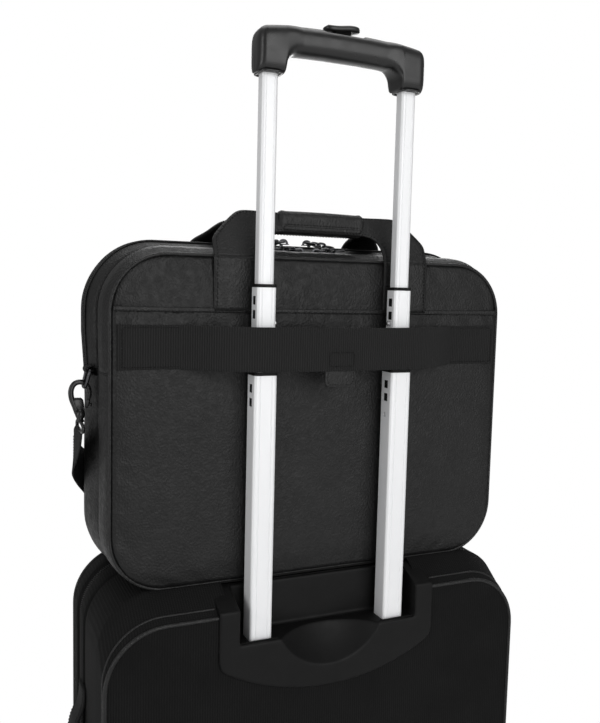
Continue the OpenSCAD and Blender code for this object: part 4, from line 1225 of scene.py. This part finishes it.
def case_gusset():
    ys = np.concatenate([np.linspace(0.8, 34, 12), np.linspace(37, 169.4, 58)])
    ys = np.unique(np.concatenate([ys, [101, 103, 104, 125, 126, 142, 143]]))
    outs = np.interp(ys, *np.array(CASE_PROFILE).T)
    count = 360
    rows = []
    for y, out in zip(ys, outs):
        t = min(1.0, y / 34)
        back, front = np.array([CASE_BACK_W, CASE_BACK_H, CASE_BACK_Z]), np.array([CASE_W, CASE_H, CASE_MID])
        w, h, mid = back + (front - back) * t
        loop = outline(w, h, CASE_R, mid, step=3 * MM)
        loop = resample(np.vstack([loop, loop[:1]]), count=count + 1)[:-1]
        wobble = field(np.stack([loop[:, 0], loop[:, 1] + y * MM], -1), 48 * MM, 7.0)
        ring = loop + outward(loop, True) * (out * MM + wobble * 0.5 * MM)[:, None]
        ring = lift_to(ring, CASE_BACK + y * MM)
        ring[:, 2] = np.clip(ring[:, 2], CASE_BOTTOM, CASE_TOP)
        rows.append(ring)
    verts = np.array(rows).reshape(-1, 3)
    faces = rows_to_faces(len(rows), count, wrap=True)
    faces = drop_faces(verts, faces, lambda x, y, z: in_housing(x, y, z) | in_well(x, y, z))
    shell = piece("case_gusset_cloth", (verts, faces), NYLON, "case_gusset", "rolling_case")
    solidify(shell, 1.6 * MM, -1)


def case_panel(name, w, h, r, mid, y, face, bulge, node, gone=None, seed=0.0, cells=(120, 100)):
    nu, nv = cells
    grid = panel_grid(w, h, r, mid, nu, nv)
    lift = (bulge + field(grid, 90 * MM, seed) * 1.6 * MM) * crown(nu, nv, 6)
    if face < 0:
        lift *= np.clip((CASE_TOP - 118 * MM - grid[..., 1]) / (60 * MM), 0, 1)
    verts = np.stack([grid[..., 0], y + face * lift, grid[..., 1]], -1).reshape(-1, 3)
    faces = rows_to_faces(nu, nv)
    if gone is not None:
        faces = drop_faces(verts, faces, gone)
    panel = piece(name, (verts, faces), NYLON, node, "rolling_case")
    return solidify(panel, 1.4 * MM, 1.0 if facing(panel) * face < 0 else -1.0)


def cut_from_back(x, y, z):
    return in_housing(x, y, z) | in_well(x, y, z) | in_scoop(x, y, z)


def case_panels():
    case_panel("case_back_cloth", CASE_BACK_W, CASE_BACK_H, CASE_R, CASE_BACK_Z, CASE_BACK + 1.2 * MM, -1,
               1.2 * MM, "case_back_panel", cut_from_back, 2.0, (140, 120))
    case_panel("case_front_cloth", CASE_W, CASE_H, CASE_R, CASE_MID, CASE_FRONT - 1 * MM, 1, 4 * MM,
               "case_front_panel", seed=11.0)
    back, width = outline(CASE_BACK_W, CASE_BACK_H, CASE_R, CASE_BACK_Z), CASE_W - 2 * MM
    broken_welt("case_piping_back", back, CASE_BACK + 1.5 * MM, 2.0 * MM, 0.6 * MM)
    inner = outline(width, CASE_BACK_H + 7 * MM, CASE_R, CASE_BACK_Z + 3 * MM)
    broken_welt("case_piping_back_inner", inner, CASE_BACK + 9.5 * MM, 1.2 * MM, 0)
    cord = welt("case_piping_front", outline(CASE_W, CASE_H, CASE_R, CASE_MID), CASE_FRONT - 1 * MM, 2.0 * MM,
                "rolling_case", 0.6 * MM)
    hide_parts("case_piping")


def broken_welt(name, loop, y, radius, out):
    """A piping cord that stops at the bezel and at the wheel housings."""
    path = lift_to(loop + outward(loop, True) * out, y)
    path = resample(np.vstack([path, path[:1]]), step=3 * MM)
    hi = span("wheel_housings")[1]
    x, z = path[:, 0], path[:, 2]
    at_bezel = (abs(x) < 114 * MM) & (z > CASE_TOP - 60 * MM)
    at_housing = (abs(x) > hi[0] - 50 * MM) & (z < hi[2] - 1 * MM)
    runs, run = [], []
    for point, gone in zip(path, at_bezel | at_housing):
        if gone:
            runs.append(run)
            run = []
        else:
            run.append(point)
    runs.append(run)
    parts = [sweep(np.array(r), ring_section(radius, 10), (0, 1, 0)) for r in runs if len(r) > 3]
    piece(name, joined(parts), PIPING, body="rolling_case")


def case_zip():
    points = outline_part(CASE_W, CASE_H, CASE_R, CASE_MID, 110 * MM, 1, 4 * MM)
    y = CASE_FRONT - 36 * MM
    ring_zip("case_zip", points, y, "rolling_case", "case_zip_tape", half=8.4, sink=1.5, teeth=2.0)
    x = span("case_zip_slider_upper")[0][0] - 0.4 * MM
    for name, z, direction in (("upper", 300 * MM, 1), ("lower", 285 * MM, -1)):
        start = (x + 5.4 * MM, y, z)
        parts = slider_parts(x, y, z, (0, 0, direction), (1, 0, 0)) + pull_parts(start, (0.06, 0, direction))
        mesh = joined(parts)
        piece(f"case_slider_{name}_body", mesh, GUNMETAL, f"case_zip_slider_{name}", f"case_zip_{name}")


def front_pocket():
    lo, hi = span("front_pocket")
    w, h = hi[0] - lo[0], hi[2] - lo[2]
    mid, depth = (lo[2] + hi[2]) / 2, hi[1] - lo[1]
    loop = outline(w, h, 26 * MM, mid)
    profile = [(0, 0.4), (2, 1.2), (12, 1.8), (depth / MM - 6, 1.4), (depth / MM - 2, -0.2),
               (depth / MM - 1, -1.2)]
    mesh = band(loop, deep(profile, lo[1]), closed=True, ripple=0.6 * MM)
    side = piece("front_pocket_gusset", mesh, NYLON, "front_pocket", "rolling_case")
    solidify(side, 1.2 * MM, -1)
    case_panel("front_pocket_face", w - 2 * MM, h - 2 * MM, 25 * MM, mid, hi[1] - 1.4 * MM, 1, 4 * MM, None,
               seed=21.0, cells=(96, 76))
    welt("front_pocket_piping", loop, hi[1] - 1.2 * MM, 1.9 * MM, "rolling_case", -0.6 * MM)
    top = outline_part(w, h, 26 * MM, mid, hi[2] - 60 * MM, 1, 4 * MM)
    ring_zip("front_pocket_zip", top, lo[1] + depth * 0.45, "rolling_case", "front_pocket", half=6.5,
             sink=-2.2)
    zip_y, slider_z = lo[1] + depth * 0.45, hi[2] + 3.6 * MM
    parts = slider_parts(0, zip_y, slider_z) + pull_parts((0, zip_y, slider_z + 5.4 * MM), (1, 0, -0.1))
    piece("front_pocket_slider", joined(parts), GUNMETAL, body="rolling_case")


def grab_handle():
    lo, hi = span("side_grab_handle")
    y = (lo[1] + hi[1]) / 2
    half = [(-1.4, 76), (-1.8, 63), (-4.5, 53), (-11, 40), (-13.4, 20)]
    bend = [(x, 230 + z) for x, z in half] + [(x, 230 - z) for x, z in half[::-1]]
    line = rounded([(-CASE_W / 2 - 0.8 * MM + x * MM, y, z * MM) for x, z in bend], 3)
    along = unit(np.gradient(line, axis=0))
    out = np.stack([along[:, 2], np.zeros(len(line)), -along[:, 0]], 1)
    out *= np.where(out[:, :1] > 0, -1, 1)
    half = np.array([0, 14.6 * MM, 0])
    mesh = slab(line - half, line + half, out, 3 * MM, across=10, crown=0.8 * MM)
    piece("side_grab_handle_webbing", mesh, WEBBING_LONG, "side_grab_handle", "rolling_case")
    rows = [stitch_row(line + [0, edge * 12 * MM, 0] + out * 1.7 * MM, out) for edge in (-1, 1)]
    piece("side_grab_handle_stitches", joined(rows), THREAD, body="rolling_case")


# ---------------------------------------------------------------- moulded and metal parts


def softened(node, voxel, passes):
    """A moulded part: the CAD part's own shape with its edges rounded off."""
    source = bpy.data.objects.new(f"{node}_moulded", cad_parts[node].data.copy())
    scene.collection.objects.link(source)
    shape = bmesh.new()
    shape.from_mesh(source.data)
    bmesh.ops.remove_doubles(shape, verts=shape.verts, dist=1e-6)
    shape.to_mesh(source.data)
    shape.free()
    remesh = source.modifiers.new("remesh", "REMESH")
    remesh.mode = "VOXEL"
    remesh.voxel_size = voxel
    relax = source.modifiers.new("relax", "SMOOTH")
    relax.factor = 0.5
    relax.iterations = passes
    bpy.context.view_layer.update()
    settled = source.evaluated_get(bpy.context.evaluated_depsgraph_get())
    data = bpy.data.meshes.new_from_object(settled)
    old = source.data
    source.modifiers.clear()
    source.data = data
    bpy.data.meshes.remove(old)
    data.materials.clear()
    return dress(source, PLASTIC, "rolling_case", node)


def grip():
    """A plump bar between two square sockets, with a pocket in its crown that the wing sinks into."""
    lo, hi = span("grip")
    y, low, top = (lo[1] + hi[1]) / 2, lo[2], hi[2]
    end, socket, reach = hi[0] - 2.4 * MM, 26 * MM, 12 * MM
    turn = np.linspace(0, 2 * math.pi, 56, endpoint=False)
    cos, sin = np.cos(turn), np.sin(turn)
    xs = np.concatenate([[-1, -0.9965, -0.985], np.linspace(-0.97, -0.72, 26), np.linspace(-0.7, -0.56, 22),
                         np.linspace(-0.54, 0, 44)])
    xs = np.concatenate([xs, -xs[-2::-1]]) * end
    rows = []
    for x in xs:
        inward = max(0.0, end - socket - abs(x))
        arch = 1 - (max(0.0, reach - inward) / reach) ** 2
        under = low + (18.1 + 1.0 * min(1, inward / (40 * MM))) * MM * math.sqrt(max(arch, 0)) * (inward > 0)
        over = top + (1.2 - 6.4 * (abs(x) / end) ** 2.6) * MM
        square = 1 - min(1.0, inward / (16 * MM))
        cap = (1 - (max(0.0, abs(x) - end + 9 * MM) / (9 * MM)) ** 2.6) ** (1 / 2.6)
        power = 2.0 / (2.5 + 1.4 * square)
        deep_half = (hi[1] - lo[1]) / 2 * (0.92 + 0.08 * square) * (0.25 + 0.75 * cap)
        tall_half = (over - under) / 2
        side = np.sign(cos) * np.abs(cos) ** power
        rise = np.sign(sin) * np.abs(sin) ** power
        crown = np.where(rise > 0, 0.35 + 0.65 * cap, 1.0)
        pocket = math.exp(-(x / (20.4 * MM)) ** 12) * np.exp(-(side * deep_half / (9.8 * MM)) ** 8)
        level = (over + under) / 2 + rise * tall_half * crown - 4.6 * MM * pocket * (rise > 0)
        rows.append(np.stack([np.full(56, x), y + side * deep_half, level], 1))
    faces = rows_to_faces(len(rows), 56, wrap=True)
    faces += [tuple(range(56))[::-1], tuple((len(rows) - 1) * 56 + i for i in range(56))]
    parts = [(np.array(rows).reshape(-1, 3), faces)]
    for side in (-1, 1):
        ring = box_section(socket - 6.5 * MM, hi[1] - lo[1] - 7 * MM, 5 * MM, 6)
        path = np.array([(side * (end - socket / 2 - 0.6 * MM) + a, y + b, low + 0.5 * MM) for a, b in ring])
        parts.append(sweep(path, box_section(2.4 * MM, 1.8 * MM, 0.7 * MM), (0, 0, 1), closed=True))
    piece("grip_moulded", joined(parts), GRIP_PLASTIC, "grip", "stage_c")


def release_button():
    """A wing that rises in a flat S along the grip's crown, on a square stem."""
    lo, hi = span("release_button")
    base = hi[2] - 9.3 * MM
    y = (lo[1] + hi[1]) / 2
    rows = []
    for x in np.linspace(-1, 1, 44):
        low = 1.1 * math.sin(x * 2.6) + 1.2 * max(0.0, abs(x) - 0.75) / 0.25
        high = 5.2 + 1.2 * math.sin(x * 2.6) - 1.9 * max(0.0, abs(x) - 0.86) / 0.14
        deep_half = 7.2 * (1 - abs(x) ** 5) ** 0.5 + 0.6
        section = box_section(2 * deep_half * MM, max(high - low, 0.6) * MM,
                              max(0.28, (high - low) * 0.42) * MM, 4)
        centre = base + (low + high) / 2 * MM
        rows.append([(x * 18.2 * MM, y + a, centre + b) for a, b in section])
    count = len(rows[0])
    verts = np.array(rows).reshape(-1, 3)
    faces = rows_to_faces(len(rows), count, wrap=True)
    faces += [tuple(range(count))[::-1], tuple((len(rows) - 1) * count + i for i in range(count))]
    stem = np.array([(0, y, z) for z in (lo[2], lo[2] + 4 * MM, base + 2 * MM)])
    button = joined([(verts, faces), sweep(stem, box_section(16.8 * MM, 9.2 * MM, 1.2 * MM), (0, 1, 0))])
    piece("release_button_wing", button, GRIP_PLASTIC, "release_button", "release")


def screw_heads():
    """Domed steel heads in the wheel housings, each with a cross of dark plastic bars laid on its face:
    painted shade where the cross recess would be, as no recess is cut.
    """
    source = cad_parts["housing_screws"].data
    points = np.array([v.co for v in source.vertices])
    places = []
    for p in points:
        if not any(np.hypot(p[0] - q[0], p[2] - q[1]) < 7 * MM for q, _ in places):
            places.append(((p[0], p[2]), []))
        for q, group in places:
            if np.hypot(p[0] - q[0], p[2] - q[1]) < 7 * MM:
                group.append(p)
    heads, shade_crosses = [], []
    for _, group in places:
        lo, hi = np.min(group, axis=0), np.max(group, axis=0)
        centre, back = (lo + hi) / 2, hi[1]
        depth = hi[1] - lo[1]
        line = np.array([(centre[0], back - depth * s, centre[2]) for s in (0, 0.35, 0.7, 0.92, 1.0)])
        heads.append(sweep(line, ring_section(3 * MM, 20), (0, 0, 1), scale=(1, 1, 0.92, 0.7, 0.4)))
        # Thin dark plastic bars just proud of the head: painted shade standing in for the cross recess.
        for turn in (0.5, 0.5 + math.pi / 2):
            arm = np.array([math.cos(turn), 0, math.sin(turn)]) * 1.5 * MM
            mid = np.array([centre[0], lo[1] - 0.03 * MM, centre[2]])
            shade_crosses.append(sweep(np.array([mid - arm, mid + arm]), box_section(0.6 * MM, 0.3 * MM, 0.1 * MM),
                               (0, 1, 0)))
    piece("screw_heads", joined(heads), STEEL, "housing_screws", "rolling_case")
    # The dark cross bars: painted shade for the screws' recesses.
    piece("screw_recess_painted_shade", joined(shade_crosses), PLASTIC, body="rolling_case")


def keep_with(finish, *nodes):
    for node in nodes:
        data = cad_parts[node].data
        if not data.materials:
            data.materials.append(finish)
        for k in range(len(data.materials)):
            data.materials[k] = finish


case_gusset()
case_panels()
case_zip()
front_pocket()
grab_handle()
softened("handle_bezel", 1.25 * MM, 5)
softened("wheel_housings", 1.4 * MM, 5)
softened("base_tray", 2.0 * MM, 3)
softened("front_feet", 1.2 * MM, 4)
grip()
release_button()
screw_heads()
keep_with(ALUMINIUM, "outer_tubes", "stage_a_tubes", "stage_b_tubes", "stage_c_tubes")
keep_with(PLASTIC, "stage_a_bushings", "stage_b_bushings", "stage_c_plugs")
keep_with(STEEL, "wheel_axles", "tube_foot_bracket", "button_spring", "release_rods", "latch_pins")
keep_with(TYRE, "wheel_left_tyre", "wheel_right_tyre")
keep_with(HUB, "wheel_left_hub", "wheel_right_hub")
keep_with(LINING, "lining_board", "bag_divider")
